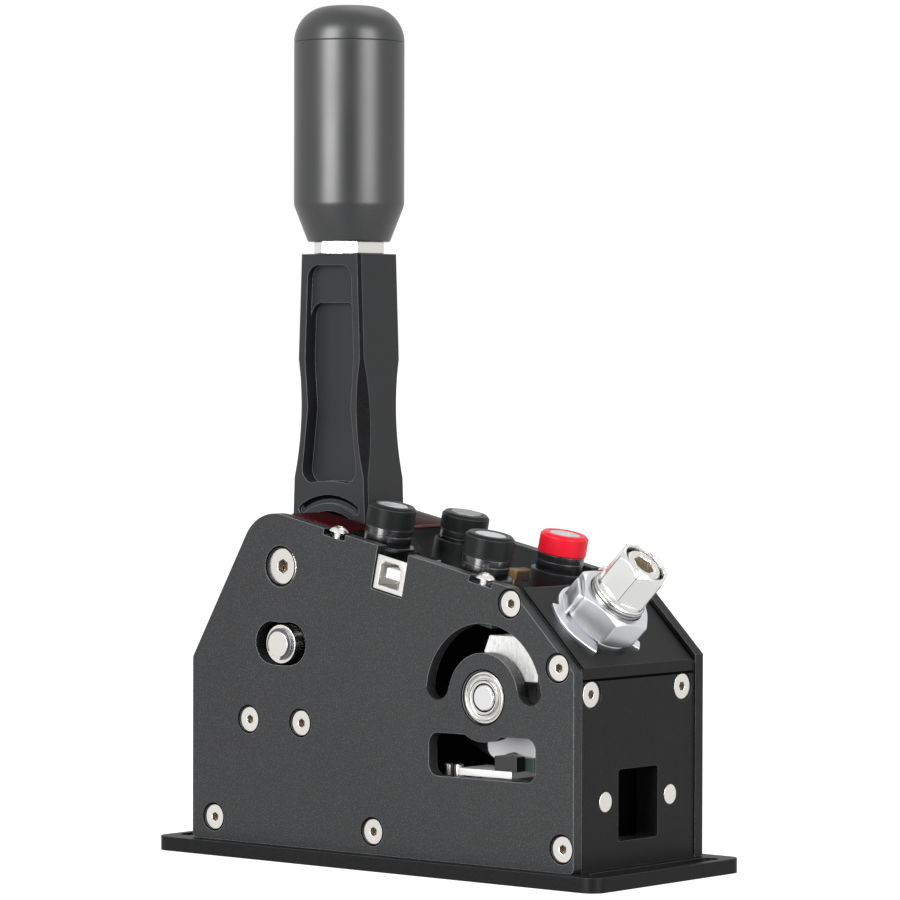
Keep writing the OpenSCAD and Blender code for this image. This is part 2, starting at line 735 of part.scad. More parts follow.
module bearing_inner_rings() color("#cfd0d1") both()
    tube(bearing_x - bearing_w, bearing_x, shaft_d / 2 + 1.2, shaft_d / 2 + press, cam);

module cam_shaft() color("#d2d3d4") intersection() {
    rod(-outer_x, outer_x, shaft_d / 2, cam);
    translate([0, cam_y, cam_z]) rotate([0, 90, 0]) rotate_extrude() polygon([[0, -outer_x],
        [shaft_d / 2 - 0.5, -outer_x], [shaft_d / 2 + 1, 1.5 - outer_x],
        [shaft_d / 2 + 1, outer_x - 1.5], [shaft_d / 2 - 0.5, outer_x], [0, outer_x]]);
}

module cam_spacers() color("#55575a") {
    tube(-bearing_x + bearing_w, lobe_x - seam, spacer_r, shaft_d / 2 + press, cam);
    tube(cam_end + seam, bearing_x - bearing_w, spacer_r, shaft_d / 2 + press, cam);
}

// The shift cam: lobed plate, hub with two crank cheeks, and the detent sector that faces the nose
module shift_cam() color("#c3c4c6") difference() {
    union() {
        sketch_x(lobe_x, lobe_t) translate(cam) lobed_plate();
        rod(lobe_x + lobe_t - eps, cam_end, hub_r, cam);
        for (x = [-cam_end, fork_half]) sketch_x(x, cheek_t) {
            translate(cam) circle(hub_r);
            translate(crank_at) circle(cheek_r);
            translate(crank_at - [cheek_r, 0]) square([2 * cheek_r, crank_r]);
        }
        sketch_x(barrel_x - sector_half, 2 * sector_half) translate(cam) detent_sector();
    }
    rod(-outer_x, outer_x, shaft_d / 2 + press, cam);
    rod(-outer_x, outer_x, pin_d / 2 + press, crank_at);
}

module lobed_plate() {
    foot = 3.2;
    side = lobe_pitch / 2 + foot;
    circle(lobe_hub_r);
    difference() {
        union() {
            polygon([[-lobe_hub_r, 0], [lobe_hub_r, 0], [side, -lobe_reach + foot + 4],
                [side, -lobe_reach + foot], [lobe_pitch / 2, -lobe_reach], [0, -lobe_reach + 2.1],
                [-lobe_pitch / 2, -lobe_reach], [-side, -lobe_reach + foot],
                [-side, -lobe_reach + foot + 4]]);
            for (s = [-1, 1]) translate([s * lobe_pitch / 2, -lobe_reach + foot]) circle(foot);
        }
        circle(shaft_d / 2);
    }
}

// A wide valley between two ramps: the roller stays in it over the whole swing
module detent_sector() difference() {
    intersection() {
        circle(detent_s + 1);
        polygon([[0, 0], for (i = [0 : 4]) polar(2 * detent_s, 135 - 40 + 20 * i)]);
    }
    arc_slot(detent_s, detent_r + gap, 135 - swing - 1, 135 + swing + 1);
}

module crank_pin() color("#b4b6b8") rod(-cam_end, cam_end, pin_d / 2, crank_at);

// Link between the lever's stop pin and the crank, moving parallel to itself
module link_bar() color("#2a2b2d") {
    d = stop_at - crank_at;
    a = atan2(d[1], d[0]);
    sketch_x(-link_half, 2 * link_half) difference() {
        union() {
            for (at = [stop_at, crank_at]) translate(at) circle(eye_r);
            translate(crank_at) rotate(a) translate([0, -link_h / 2]) square([norm(d), link_h]);
        }
        translate(stop_at) circle(pin_d / 2 + fit);
        translate(crank_at) circle(pin_d / 2 + 2 * fit);
        translate(crank_at) rotate(a) translate([norm(d) / 2, 0]) long_slot(norm(d) - 38, 3.6);
    }
}

// Outline of the lever seen from the side, or seen square to its corners' chamfers
module lever_outline(corner) polygon([for (s = [1, -1]) for (i = [0 : len(levels) - 1])
    let (l = levels[s > 0 ? i : len(levels) - 1 - i])
    [s * (corner ? (lever_w / 2 + l[1] - l[2]) / sqrt(2) : l[1]), l[0]]]);

module pocket_outline(top) {
    hs = [pocket_foot, waist_h, hip_h, top];
    ws = [for (h = hs) lookup(h, depth_at) - pocket_rim];
    difference() {
        rounded([for (i = [0 : 3]) [ws[i], hs[i]], for (i = [3 : -1 : 0]) [-ws[i], hs[i]]],
            [pocket_r, 0, 0, pocket_r, pocket_r, 0, 0, pocket_r]);
        translate([0, pocket_foot + 0.8 - pocket_arch]) circle(pocket_arch);
    }
}

module lever() color("#2c2d30") translate([0, pivot_y, pivot_z]) difference() {
    union() {
        intersection() {
            sketch_x(-lever_w / 2, lever_w) lever_outline(false);
            rotate([0, 0, 45]) sketch_x(-60, 120) lever_outline(true);
            rotate([0, 0, -45]) sketch_x(-60, 120) lever_outline(true);
        }
        rod(-lever_w / 2, lever_w / 2, hub_flat, [0, 0]);
        sketch_x(-lever_w / 2, lever_w) {
            translate([-tail_r, -crank_r]) square([2 * tail_r, crank_r]);
            translate([0, -crank_r]) circle(tail_r);
        }
    }
    both() {
        translate([lever_w / 2 - pocket_step, 0, 0]) sketch_x(0, 10) pocket_outline(pocket_top);
        translate([lever_w / 2 - pocket_d, 0, 0]) sketch_x(0, 10) pocket_outline(pocket_floor_top);
        sketch_x(lever_w / 2 - groove_d, 10) {
            arc_slot(groove_r, groove_half, 90 - 34.5, 90 + 34.5);
            arc_slot(groove_r - groove_pitch, groove_half, 45, 135);
        }
    }
    rod(-lever_w, lever_w, bush_r + press, [0, 0]);
    rod(-lever_w, lever_w, pin_d / 2 + press, [0, -crank_r]);
    translate([-fork_half, -20, -crank_r - 20]) cube([2 * fork_half, 40, 20 + eye_r + 2]);
    translate([0, 0, lever_h - stud_in - 0.5]) cylinder(h = stud_in + 0.5 + eps, r = stud_d / 2 + fit);
}

module lever_bushes() color("#a98a4e") both() difference() {
    union() {
        rod(1, lever_w / 2 + eps / 4, bush_r, pivot);
        rod(lever_w / 2, lever_w / 2 + flange_t, flange_r, pivot);
    }
    rod(0, lever_w, pivot_d / 2 + fit, pivot);
}

module stop_pin() color("#b4b6b8") difference() {
    rod(-clip_x - clip_t - 0.6, clip_x + clip_t + 0.6, pin_d / 2, stop_at);
    both() tube(clip_x - fit, clip_x + clip_t + fit, pin_d, pin_d / 2 - clip_d, stop_at);
}

module stop_rollers() color("#c9cacc") both()
    tube(half_w - 0.6, outer_x, roller_d / 2, pin_d / 2 + press, stop_at);

module stop_clips() color("#9d9fa2") both() sketch_x(clip_x, clip_t) translate(stop_at) difference() {
    circle(pin_d / 2 + 1);
    circle(pin_d / 2 - clip_d + fit);
    rotate(-60) translate([0, -2.6]) square([pin_d, 5.2]);
}

module jam_nut() color("#d9dadb") translate([0, pivot_y, nut_z + seam / 2]) difference() {
    intersection() {
        rotate([0, 0, 37.6]) cylinder(h = nut_h, r = nut_af / sqrt(3), $fn = 6);
        cylinder(h = nut_h, r = nut_af / 2 + 1.15);
    }
    translate([0, 0, -eps]) cylinder(h = nut_h + 2 * eps, r = stud_d / 2 + fit);
}

module knob_stud() color("#b4b6b8") translate([0, pivot_y, nut_z - stud_in])
    cylinder(h = stud_in + nut_h + stud_up, r = stud_d / 2);

module knob() color("#4c4d4f") translate([0, pivot_y, knob_z]) rotate_extrude() difference() {
    union() {
        polygon([[0, 0], [knob_foot_d / 2, 0], [knob_d / 2, knob_taper], [knob_d / 2, knob_h - crown_r],
            [knob_d / 2 - crown_r, knob_h], [0, knob_h]]);
        intersection() {
            translate([knob_d / 2 - crown_r, knob_h - crown_r]) circle(crown_r);
            square([knob_d, knob_h]);
        }
    }
    square([stud_d / 2 + fit, stud_up + eps]);
    translate([knob_d / 2 - 0.3, knob_h - crown_r - 0.15]) square([1, 0.3]);
}

// Adjuster
module barrel() color("#b9babd") on_nose(barrel_x, 0) difference() {
    union() {
        translate([0, 0, barrel_in]) cylinder(h = hex_s - barrel_in, r = barrel_d / 2);
        intersection() {
            translate([0, 0, hex_s]) rotate([0, 0, 32])
                cylinder(h = hex_l, r = hex_corner, $fn = 6);
            rotate_extrude() polygon([[0, hex_s], [hex_corner, hex_s], [hex_corner, barrel_end - 2.2],
                [hex_af / 2 - 0.3, barrel_end], [0, barrel_end]]);
        }
    }
    translate([0, 0, barrel_in - eps]) cylinder(h = 2 * eps + 3, r = stem_r + fit);
    translate([0, 0, wall_top]) cylinder(h = barrel_end, r = bore_r);
    translate([0, 0, barrel_end - 0.4]) cylinder(h = 1, r = bore_r + 0.3);
}

module tab_washer() color("#a8aaad") on_nose(barrel_x, nose_s) difference() {
    union() {
        cylinder(h = washer_t, r = washer_d / 2);
        for (a = [20, 80, 250, 310]) rotate([0, 0, a]) translate([washer_d / 2 - 2, -2.4, 0])
            cube([5.5, 4.8, washer_t]);
        rotate([0, 0, 202]) translate([lock_af / 2 + gap, -3.4, 0]) cube([washer_t, 6.8, 6.5]);
    }
    translate([0, 0, -eps]) cylinder(h = washer_t + 2 * eps, r = barrel_d / 2 + fit);
}

module locknut() color("#c4c5c8") on_nose(barrel_x, nose_s + washer_t) difference() {
    intersection() {
        rotate([0, 0, 52]) cylinder(h = lock_h, r = lock_af / sqrt(3), $fn = 6);
        rotate_extrude() polygon([[0, 0], [lock_af / 2, 0], [lock_af / sqrt(3), 1],
            [lock_af / sqrt(3), lock_h - 1], [lock_af / 2, lock_h], [0, lock_h]]);
    }
    translate([0, 0, -eps]) cylinder(h = lock_h + 2 * eps, r = barrel_d / 2 + fit);
}

module plunger_rod() color("#c0c1c3") on_nose(barrel_x, 0) {
    translate([0, 0, fork_top - stem_in]) cylinder(h = piston_s - fork_top + stem_in, r = stem_r);
    translate([0, 0, piston_s]) cylinder(h = piston_t, r = piston_r);
    translate([0, 0, piston_s + piston_t]) cylinder(h = spigot_h, r = spigot_r);
}

module plunger_fork() color("#8e9093") on_nose(barrel_x, 0) difference() {
    intersection() {
        translate([0, 0, fork_foot]) cylinder(h = fork_top - fork_foot, r = fork_r);
        translate([-fork_flat, -fork_r, 0]) cube([2 * fork_flat, 2 * fork_r, fork_top]);
    }
    translate([-fork_slot, -fork_r - eps, 0])
        cube([2 * fork_slot, 2 * fork_r + 2 * eps, detent_s + detent_r + 0.4]);
    translate([-fork_r, 0, detent_s]) rotate([0, 90, 0]) cylinder(h = 2 * fork_r, r = roller_pin_r + press);
    translate([0, 0, fork_top - stem_in]) cylinder(h = stem_in + eps, r = stem_r + fit);
}

module detent_roller() color("#dcdddd") on_nose(barrel_x, detent_s) rotate([0, 90, 0]) difference() {
    cylinder(h = 2 * (fork_slot - gap), r = detent_r, center = true);
    cylinder(h = fork_r, r = roller_pin_r + press, center = true);
}

module roller_pin() color("#b4b6b8") on_nose(barrel_x, detent_s) rotate([0, 90, 0])
    cylinder(h = 2 * fork_flat - 0.4, r = roller_pin_r, center = true);

module spring_seat() color("#b4b6b8") on_nose(barrel_x, 0) {
    translate([0, 0, seat_s]) cylinder(h = seat_t, r = piston_r);
    translate([0, 0, seat_s - spigot_h]) cylinder(h = spigot_h, r = spigot_r);
}

module preload_screw() color("#c9cacc") on_nose(barrel_x, screw_end - screw_len) difference() {
    rotate_extrude() polygon([[0, 0], [preload_d / 2, 0], [preload_d / 2, screw_len - 0.3],
        [preload_d / 2 - 0.3, screw_len], [0, screw_len]]);
    translate([0, 0, screw_len - preload_key_h])
        cylinder(h = preload_key_h + eps, r = preload_key / sqrt(3), $fn = 6);
}

// Preload spring: one helical wire, its ends wound close
spring_sides = 6;
spring_rings = 8;
ring_count = spring_rings * turns;
spring_h = spring_top - spring_s - wire_d;
function spring_centre(i) = let (a = 360 * i / spring_rings)
    [coil_r * cos(a), coil_r * sin(a), spring_s + wire_d / 2 + spring_h * i / ring_count];
spring_points = [for (i = [0 : ring_count]) let (a = 360 * i / spring_rings, c = spring_centre(i))
    for (k = [0 : spring_sides - 1]) let (b = 360 * k / spring_sides)
    c + wire_d / 2 * [cos(b) * cos(a), cos(b) * sin(a), sin(b)]];
spring_faces = concat(
    [for (i = [0 : ring_count - 1]) for (k = [0 : spring_sides - 1])
        let (j = (k + 1) % spring_sides, o = i * spring_sides)
        for (f = [[o + k, o + spring_sides + k, o + j],
            [o + spring_sides + k, o + spring_sides + j, o + j]]) f],
    [for (k = [1 : spring_sides - 2]) [0, k, k + 1]],
    [for (k = [1 : spring_sides - 2]) let (o = ring_count * spring_sides) [o, o + k + 1, o + k]]);

module preload_spring() color("#9a9ca0") on_nose(barrel_x, 0) polyhedron(spring_points, spring_faces);

// Stop block: a bar between the plates with two pairs of ears for the bumpers
module stop_block() color("#28292b") {
    end = stop_reach + bumper_t + ear_t;
    top = stop_z + stop_half_h;
    difference() {
        sketch_x(-half_w + seam, inner_w - 2 * seam)
            translate([pivot_y - end, stop_z - stop_half_h]) square([2 * end, 2 * stop_half_h]);
        translate([-ear_x, pivot_y - end - eps, stop_z + 2.5])
            cube([2 * ear_x, 2 * (end + eps), stop_half_h]);
        tapped_holes();
    }
    both() for (y = [-end, end - ear_t]) translate([ear_x, pivot_y + y, top])
        cube([ear_w, ear_t, stop_at[1] + 3.5 - top]);
}

module stop_bumpers() color("#1a1a1b") both() for (s = [-1, 1])
    translate([ear_x + ear_w / 2, pivot_y + s * (stop_reach + bumper_t / 2), stop_at[1] - 1])
        rotate([90, 0, 0]) cylinder(h = bumper_t, r = bumper_r, center = true);

module guide_screw_holes(s, l) on_nose(guide_screw_x, s) translate([0, guide_screw_t, 0])
    cylinder(h = l, r = M4[0] / 2 + fit);

// Block that keeps the plunger fork from turning
module guide_block() color("#b9babd") difference() {
    leg = panel_y + panel_t + nose_leg_t + seam;
    inner = nose_point(nose_in - seam, 0);
    top = cam_z + 18.6;
    sketch_x(guide_x0, guide_x1 - guide_x0) polygon([meet(inner, v, [0, top], [1, 0]),
        [cam_y + 1.4, top], [cam_y + 3.5, cam_z + 13.6], [cam_y, cam_z + 11], [cam_y - 8.2, cam_z + 8],
        [cam_y - 10.7, cam_z + 5.2], [leg, cam_z + 5.2], meet(inner, v, [leg, 0], [0, 1])]);
    guide_screw_holes(0, 40);
    on_nose(guide_screw_x, 0) translate([0, guide_screw_t, guide_head_s - 8])
        cylinder(h = 8, r = guide_head_r + seam);
}

module guide_screws() color("#c9cacc") on_nose(guide_screw_x, guide_head_s) translate([0, guide_screw_t, 0]) {
    difference() {
        translate([0, 0, -4]) cylinder(h = 4, r = guide_head_r);
        translate([0, 0, -5]) cylinder(h = 3, r = 3 / sqrt(3), $fn = 6);
    }
    cylinder(h = 13, r = M4[0] / 2);
}

// Sensor bracket: a folded channel on the base plate, with the sensor on its shelf
module sensor_bracket() color("#e2e2e0") difference() {
    sketch_y(shelf_y0, shelf_y1 - shelf_y0) polygon([[shelf_x0, base_t], [shelf_x1, base_t],
        [shelf_x1, shelf_z], [shelf_x0, shelf_z], [shelf_x0, shelf_z - sheet_t],
        [shelf_x1 - sheet_t, shelf_z - sheet_t], [shelf_x1 - sheet_t, base_t + sheet_t],
        [shelf_x0, base_t + sheet_t]]);
    for (y = bracket_screw_ys) translate([bracket_screw_x, y, 0])
        cylinder(h = base_t + 2 * sheet_t, r = M3[0] / 2 + fit);
}

module bracket_screws() color("#c9cacc") for (y = bracket_screw_ys)
    translate([bracket_screw_x, y, base_t + sheet_t]) dome_screw(sheet_t + base_t - 0.5);

module sensor_head() color("#77787a") translate([shelf_x0, shelf_y0 - 1.9, shelf_z])
    cube([3.8, 8.5, 4.5]);

module sensor_board() color("#2a2f2a") translate([shelf_x0 + 4, shelf_y0 - 5.5, shelf_z])
    cube([1.6, 15, 4.1]);

base_plate();
side_plate_left();
side_plate_right();
front_panel();
nose_block();
rear_cover();
rear_rail();
mid_rail();
top_cover();
control_board();
usb_socket();
switch_bodies();
button_guides();
cover_screws();
side_screws();
panel_screws();
dowel_pins();
base_screws();
pivot_shaft();
pivot_screws();
pivot_spacers();
bearing_outer_rings();
barrel();
tab_washer();
locknut();
stop_block();
stop_bumpers();
guide_block();
guide_screws();
sensor_bracket();
sensor_head();
sensor_board();
bracket_screws();
port_block();
preload_spring();
lever();
lever_bushes();
stop_pin();
stop_rollers();
stop_clips();
jam_nut();
knob_stud();
knob();
link_bar();
shift_cam();
cam_shaft();
cam_spacers();
crank_pin();
bearing_inner_rings();
plunger_rod();
plunger_fork();
detent_roller();
roller_pin();
spring_seat();
preload_screw();
button_cap_a();
button_cap_b();
button_cap_c();
button_cap_d();
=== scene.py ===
"""Looks of a sequential gear shifter: finishes, turned and moulded details, and the studio around it."""

import bpy
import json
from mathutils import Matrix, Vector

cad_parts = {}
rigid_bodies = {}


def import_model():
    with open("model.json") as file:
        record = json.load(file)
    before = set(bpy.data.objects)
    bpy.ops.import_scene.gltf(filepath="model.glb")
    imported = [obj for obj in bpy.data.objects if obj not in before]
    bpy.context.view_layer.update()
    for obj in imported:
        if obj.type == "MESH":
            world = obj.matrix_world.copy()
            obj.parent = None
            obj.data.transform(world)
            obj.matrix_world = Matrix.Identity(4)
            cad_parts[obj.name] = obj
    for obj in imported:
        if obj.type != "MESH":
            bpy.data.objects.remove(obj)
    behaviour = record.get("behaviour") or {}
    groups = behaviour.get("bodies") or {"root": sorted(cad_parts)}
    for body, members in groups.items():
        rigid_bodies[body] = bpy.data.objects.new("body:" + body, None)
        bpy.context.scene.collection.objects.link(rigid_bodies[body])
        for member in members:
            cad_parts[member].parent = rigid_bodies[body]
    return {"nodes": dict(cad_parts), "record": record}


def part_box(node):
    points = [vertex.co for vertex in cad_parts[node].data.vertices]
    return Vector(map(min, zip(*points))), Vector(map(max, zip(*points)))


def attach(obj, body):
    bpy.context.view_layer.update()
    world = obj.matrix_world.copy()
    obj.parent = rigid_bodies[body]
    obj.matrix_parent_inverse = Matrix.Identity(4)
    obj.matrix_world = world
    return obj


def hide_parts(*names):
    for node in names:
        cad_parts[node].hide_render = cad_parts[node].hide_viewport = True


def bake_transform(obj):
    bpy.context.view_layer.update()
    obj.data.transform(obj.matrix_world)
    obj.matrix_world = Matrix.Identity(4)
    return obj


for leftover in list(bpy.data.objects):
    bpy.data.objects.remove(leftover)
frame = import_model()

import json
import logging
import math
from collections.abc import Callable
from dataclasses import dataclass, field
from enum import Enum

import bmesh
from mathutils import Matrix, Vector

Colour = tuple[float, float, float]
Socket = bpy.types.NodeSocket
Section = Callable[[float], tuple[float, float]]
MM = 0.001

log = logging.getLogger("shifter")


class Side(Enum):
    """The two sides of the unit, as the sign of X."""

    LEFT = -1
    RIGHT = 1


class Marks(Enum):
    """What the surface of a finish shows besides its grain."""

    PLAIN = "plain"
    SCRATCHED = "scratched"


# Places


@dataclass(frozen=True)
class Layout:
    """Main places of the unit in millimetres, worked out from the frame."""

    slope: float = math.radians(12)
    nose_slope: float = math.radians(45)
    nose_top: Vector = Vector((0, -52.5, 88.5))

    def slope_z(self, y: float) -> float:
        """Height of the plates' sloping top edge above y."""
        return self.nose_top.z + (y - self.nose_top.y) * math.tan(self.slope)

    def on_slope(self, x: float, y: float, n: float = 0.0) -> Matrix:
        """Frame whose Z stands square to the sloping edge.

        Args:
            x: place across the unit.
            y: place along the unit, where the frame's axis meets the edge.
            n: distance along the axis from the edge.

        Returns:
            The matrix from that frame to the unit, in millimetres.
        """
        return (Matrix.Translation((x, y, self.slope_z(y))) @ Matrix.Rotation(self.slope, 4, "X")
                @ Matrix.Translation((0, 0, n)))

    def on_nose(self, x: float, y: float, s: float) -> Matrix:
        """Frame whose Z points out of the nose, square to its face.

        Args:
            x: place across the unit.
            y: distance up along the face from the cam shaft's axis.
            s: distance out from the cam shaft's axis.

        Returns:
            The matrix from that frame to the unit, in millimetres.
        """
        shaft = self.middle("cam_shaft")
        return (Matrix.Translation((x, shaft.y, shaft.z)) @ Matrix.Rotation(self.nose_slope, 4, "X")
                @ Matrix.Translation((0, y, s)))

    def middle(self, node: str) -> Vector:
        """Middle of a node's box, in millimetres."""
        low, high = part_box(node)
        return (low + high) / 2 / MM

    def span(self, node: str) -> tuple[Vector, Vector]:
        """Lowest and highest corner of a node, in millimetres."""
        low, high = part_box(node)
        return low / MM, high / MM

    def on_side(self, side: Side, y: float, z: float, out: float) -> Matrix:
        """Frame whose Z points out of a side plate, at a distance out from the middle plane."""
        turn = Matrix.Rotation(side.value * math.pi / 2, 4, "Y")
        return Matrix.Translation((side.value * out, y, z)) @ turn


LAYOUT = Layout()
ACROSS = Vector((1, 0, 0))
UPRIGHT = Vector((0, 0, 1))
OUT_OF_NOSE = Vector((0, -math.sqrt(0.5), math.sqrt(0.5)))


@dataclass(frozen=True)
class Relief:
    """Depths in millimetres, shares and gains that all finishes have in common."""

    bevel_samples: int = 6
    grain_spread: float = 0.52
    sparkle_gain: float = 5.0
    cloud_scale: float = 28.0
    cloud_roughness: float = 0.14
    coat_roughness: float = 0.12
    scratch_courses: tuple[tuple[float, float], ...] = ((0.5, 1.7), (-0.9, 2.3))
    scratch_tilt: float = 0.3
    scratch_floor: float = 0.27
    scratch_gain: float = 6.0
    scratch_depth: float = 0.12
    scratch_shade: float = 0.55
    scratch_roughness: float = 0.2
    ring_pitch: float = 0.22
    ring_depth: float = 0.004
    # Painted shade: the thread's grooves take a darker colour.
    thread_depth: float = 0.35
    thread_painted_shade: float = 0.25
    groove_shade_share: float = 0.8


RELIEF = Relief()


# Shader groups


class NodeGroup:
    """A shader node group with named sockets, built once and placed in many materials."""

    def __init__(self, name: str, inputs: dict[str, tuple[str, float]], outputs: dict[str, str]) -> None:
        """Make the empty group.

        Args:
            name: name of the group.
            inputs: socket type and default of each input, by name.
            outputs: socket type of each output, by name.
        """
        self.tree = bpy.data.node_groups.new(name, "ShaderNodeTree")
        for label, (kind, default) in inputs.items():
            made = self.tree.interface.new_socket(name=label, in_out="INPUT", socket_type=kind)
            if kind == "NodeSocketFloat":
                made.default_value = default
        for label, kind in outputs.items():
            self.tree.interface.new_socket(name=label, in_out="OUTPUT", socket_type=kind)
        self.inputs = self.tree.nodes.new("NodeGroupInput").outputs
        self.outputs = self.tree.nodes.new("NodeGroupOutput").inputs

    def node(self, kind: str, **settings: object) -> bpy.types.Node:
        """Add a node to the group with the given settings."""
        return add_node(self.tree, kind, **settings)

    def math(self, operation: str, *values: object, clamp: bool = False) -> Socket:
        """Add a Math node to the group and return its result."""
        return add_math(self.tree, operation, *values, clamp=clamp)

    def link(self, source: Socket, target: Socket) -> None:
        """Join two sockets inside the group."""
        self.tree.links.new(source, target)


def add_node(tree: bpy.types.NodeTree, kind: str, **settings: object) -> bpy.types.Node:
    """Add a node to a tree.

    Args:
        tree: the tree that takes the node.
        kind: type name of the node.
        settings: attributes of the node.

    Returns:
        The new node.
    """
    made = tree.nodes.new(kind)
    for name, value in settings.items():
        setattr(made, name, value)
    return made


def add_math(tree: bpy.types.NodeTree, operation: str, *values: object, clamp: bool = False) -> Socket:
    """Add a Math node whose inputs are sockets or numbers.

    Args:
        tree: the tree that takes the node.
        operation: operation of the node.
        values: a socket to link or a number to set, for each input in order.
        clamp: whether the result stays between 0 and 1.

    Returns:
        The node's result.
    """
    made = add_node(tree, "ShaderNodeMath", operation=operation, use_clamp=clamp)
    for place, value in zip(made.inputs, values):
        if isinstance(value, (int, float)):
            place.default_value = value
        else:
            tree.links.new(value, place)
    return made.outputs[0]


def edge_highlight_group() -> bpy.types.NodeTree:
    """Mask of the outer and inner edges, where the lighter edge colour is a painted highlight, and the normal
    that rounds them.

    Returns:
        The group's tree.
    """
    group = NodeGroup("edge_highlight",
                      {"Radius": ("NodeSocketFloat", 0.0003), "Sharpness": ("NodeSocketFloat", 6.0)},
                      {"Mask": "NodeSocketFloat", "Normal": "NodeSocketVector"})
    bevel = group.node("ShaderNodeBevel", samples=RELIEF.bevel_samples)
    group.link(group.inputs["Radius"], bevel.inputs["Radius"])
    flat = group.node("ShaderNodeNewGeometry")
    dot = group.node("ShaderNodeVectorMath", operation="DOT_PRODUCT")
    group.link(bevel.outputs["Normal"], dot.inputs[0])
    group.link(flat.outputs["Normal"], dot.inputs[1])
    bend = group.math("SUBTRACT", 1.0, dot.outputs["Value"])
    group.link(group.math("MULTIPLY", bend, group.inputs["Sharpness"], clamp=True), group.outputs["Mask"])
    group.link(bevel.outputs["Normal"], group.outputs["Normal"])
    return group.tree


def grain_group() -> bpy.types.NodeTree:
    """Fine blasted or moulded grain: a height for the bump and a mask for the sparkle of single grains.

    Returns:
        The group's tree.
    """
    group = NodeGroup("grain", {"Vector": ("NodeSocketVector", 0.0), "Scale": ("NodeSocketFloat", 3000.0),
                                "Spread": ("NodeSocketFloat", 0.5)},
                      {"Height": "NodeSocketFloat", "Sparkle": "NodeSocketFloat", "Cloud": "NodeSocketFloat"})
    noise = group.node("ShaderNodeTexNoise")
    noise.inputs["Detail"].default_value = 2.0
    group.link(group.inputs["Vector"], noise.inputs["Vector"])
    group.link(group.inputs["Scale"], noise.inputs["Scale"])
    group.link(noise.outputs["Fac"], group.outputs["Height"])
    sharp = group.math("SUBTRACT", noise.outputs["Fac"], group.inputs["Spread"])
    group.link(group.math("MULTIPLY", sharp, RELIEF.sparkle_gain, clamp=True), group.outputs["Sparkle"])
    cloud = group.node("ShaderNodeTexNoise")
    cloud.inputs["Scale"].default_value = RELIEF.cloud_scale
    cloud.inputs["Detail"].default_value = 3.0
    group.link(group.inputs["Vector"], cloud.inputs["Vector"])
    group.link(cloud.outputs["Fac"], group.outputs["Cloud"])
    return group.tree


def scratch_group() -> bpy.types.NodeTree:
    """Long milling scratches that cross each other, as a height and a mask.

    Returns:
        The group's tree.
    """
    group = NodeGroup("scratches", {"Vector": ("NodeSocketVector", 0.0), "Scale": ("NodeSocketFloat", 330.0)},
                      {"Height": "NodeSocketFloat", "Mask": "NodeSocketFloat"})
    found: list[Socket] = []
    for turn, stretch in RELIEF.scratch_courses:
        place = group.node("ShaderNodeMapping")
        place.inputs["Rotation"].default_value = (turn, turn, RELIEF.scratch_tilt)
        place.inputs["Scale"].default_value = (1.0, stretch, 1.0)
        noise = group.node("ShaderNodeTexNoise")
        noise.inputs["Detail"].default_value = 4.0
        group.link(group.inputs["Vector"], place.inputs["Vector"])
        group.link(place.outputs["Vector"], noise.inputs["Vector"])
        group.link(group.inputs["Scale"], noise.inputs["Scale"])
        found.append(noise.outputs["Fac"])
    both = group.math("MULTIPLY", *found)
    group.link(both, group.outputs["Height"])
    above = group.math("SUBTRACT", both, RELIEF.scratch_floor)
    group.link(group.math("MULTIPLY", above, RELIEF.scratch_gain, clamp=True), group.outputs["Mask"])
    return group.tree


def turned_group() -> bpy.types.NodeTree:
    """Rings left by turning round an axis, and a screw thread along a stretch of it.

    Returns:
        The group's tree.
    """
    group = NodeGroup("turned", {
        "Vector": ("NodeSocketVector", 0.0), "Origin": ("NodeSocketVector", 0.0),
        "Axis": ("NodeSocketVector", 0.0), "Ring Pitch": ("NodeSocketFloat", 0.0004),
        "Thread Pitch": ("NodeSocketFloat", 0.0015), "Start": ("NodeSocketFloat", 0.0),
        "End": ("NodeSocketFloat", 0.0)}, {"Rings": "NodeSocketFloat", "Thread": "NodeSocketFloat"})
    local = group.node("ShaderNodeVectorMath", operation="SUBTRACT")
    group.link(group.inputs["Vector"], local.inputs[0])
    group.link(group.inputs["Origin"], local.inputs[1])
    along = group.node("ShaderNodeVectorMath", operation="DOT_PRODUCT")
    group.link(local.outputs[0], along.inputs[0])
    group.link(group.inputs["Axis"], along.inputs[1])
    height = along.outputs["Value"]
    across = group.node("ShaderNodeVectorMath", operation="CROSS_PRODUCT")
    group.link(local.outputs[0], across.inputs[0])
    group.link(group.inputs["Axis"], across.inputs[1])
    radius = group.node("ShaderNodeVectorMath", operation="LENGTH")
    group.link(across.outputs[0], radius.inputs[0])
    reach = group.math("ADD", radius.outputs["Value"], height)
    rings = group.math("PINGPONG", reach, group.inputs["Ring Pitch"])
    group.link(group.math("DIVIDE", rings, group.inputs["Ring Pitch"]), group.outputs["Rings"])
    half = group.math("MULTIPLY", group.inputs["Thread Pitch"], 0.5)
    wave = group.math("DIVIDE", group.math("PINGPONG", height, half), half)
    inside = group.math("MULTIPLY", group.math("GREATER_THAN", height, group.inputs["Start"]),
                        group.math("LESS_THAN", height, group.inputs["End"]))
    group.link(group.math("MULTIPLY", wave, inside), group.outputs["Thread"])
    return group.tree


@dataclass(frozen=True)
class Groups:
    """The shader groups that the finishes share."""

    edge: bpy.types.NodeTree = field(default_factory=edge_highlight_group)
    grain: bpy.types.NodeTree = field(default_factory=grain_group)
    scratches: bpy.types.NodeTree = field(default_factory=scratch_group)
    turned: bpy.types.NodeTree = field(default_factory=turned_group)


GROUPS = Groups()


# Finishes


@dataclass(frozen=True)
class Turning:
    """Axis and thread of a turned part, in millimetres."""

    origin: Vector
    axis: Vector
    pitch: float = 1.5
    start: float = 0.0
    end: float = 0.0


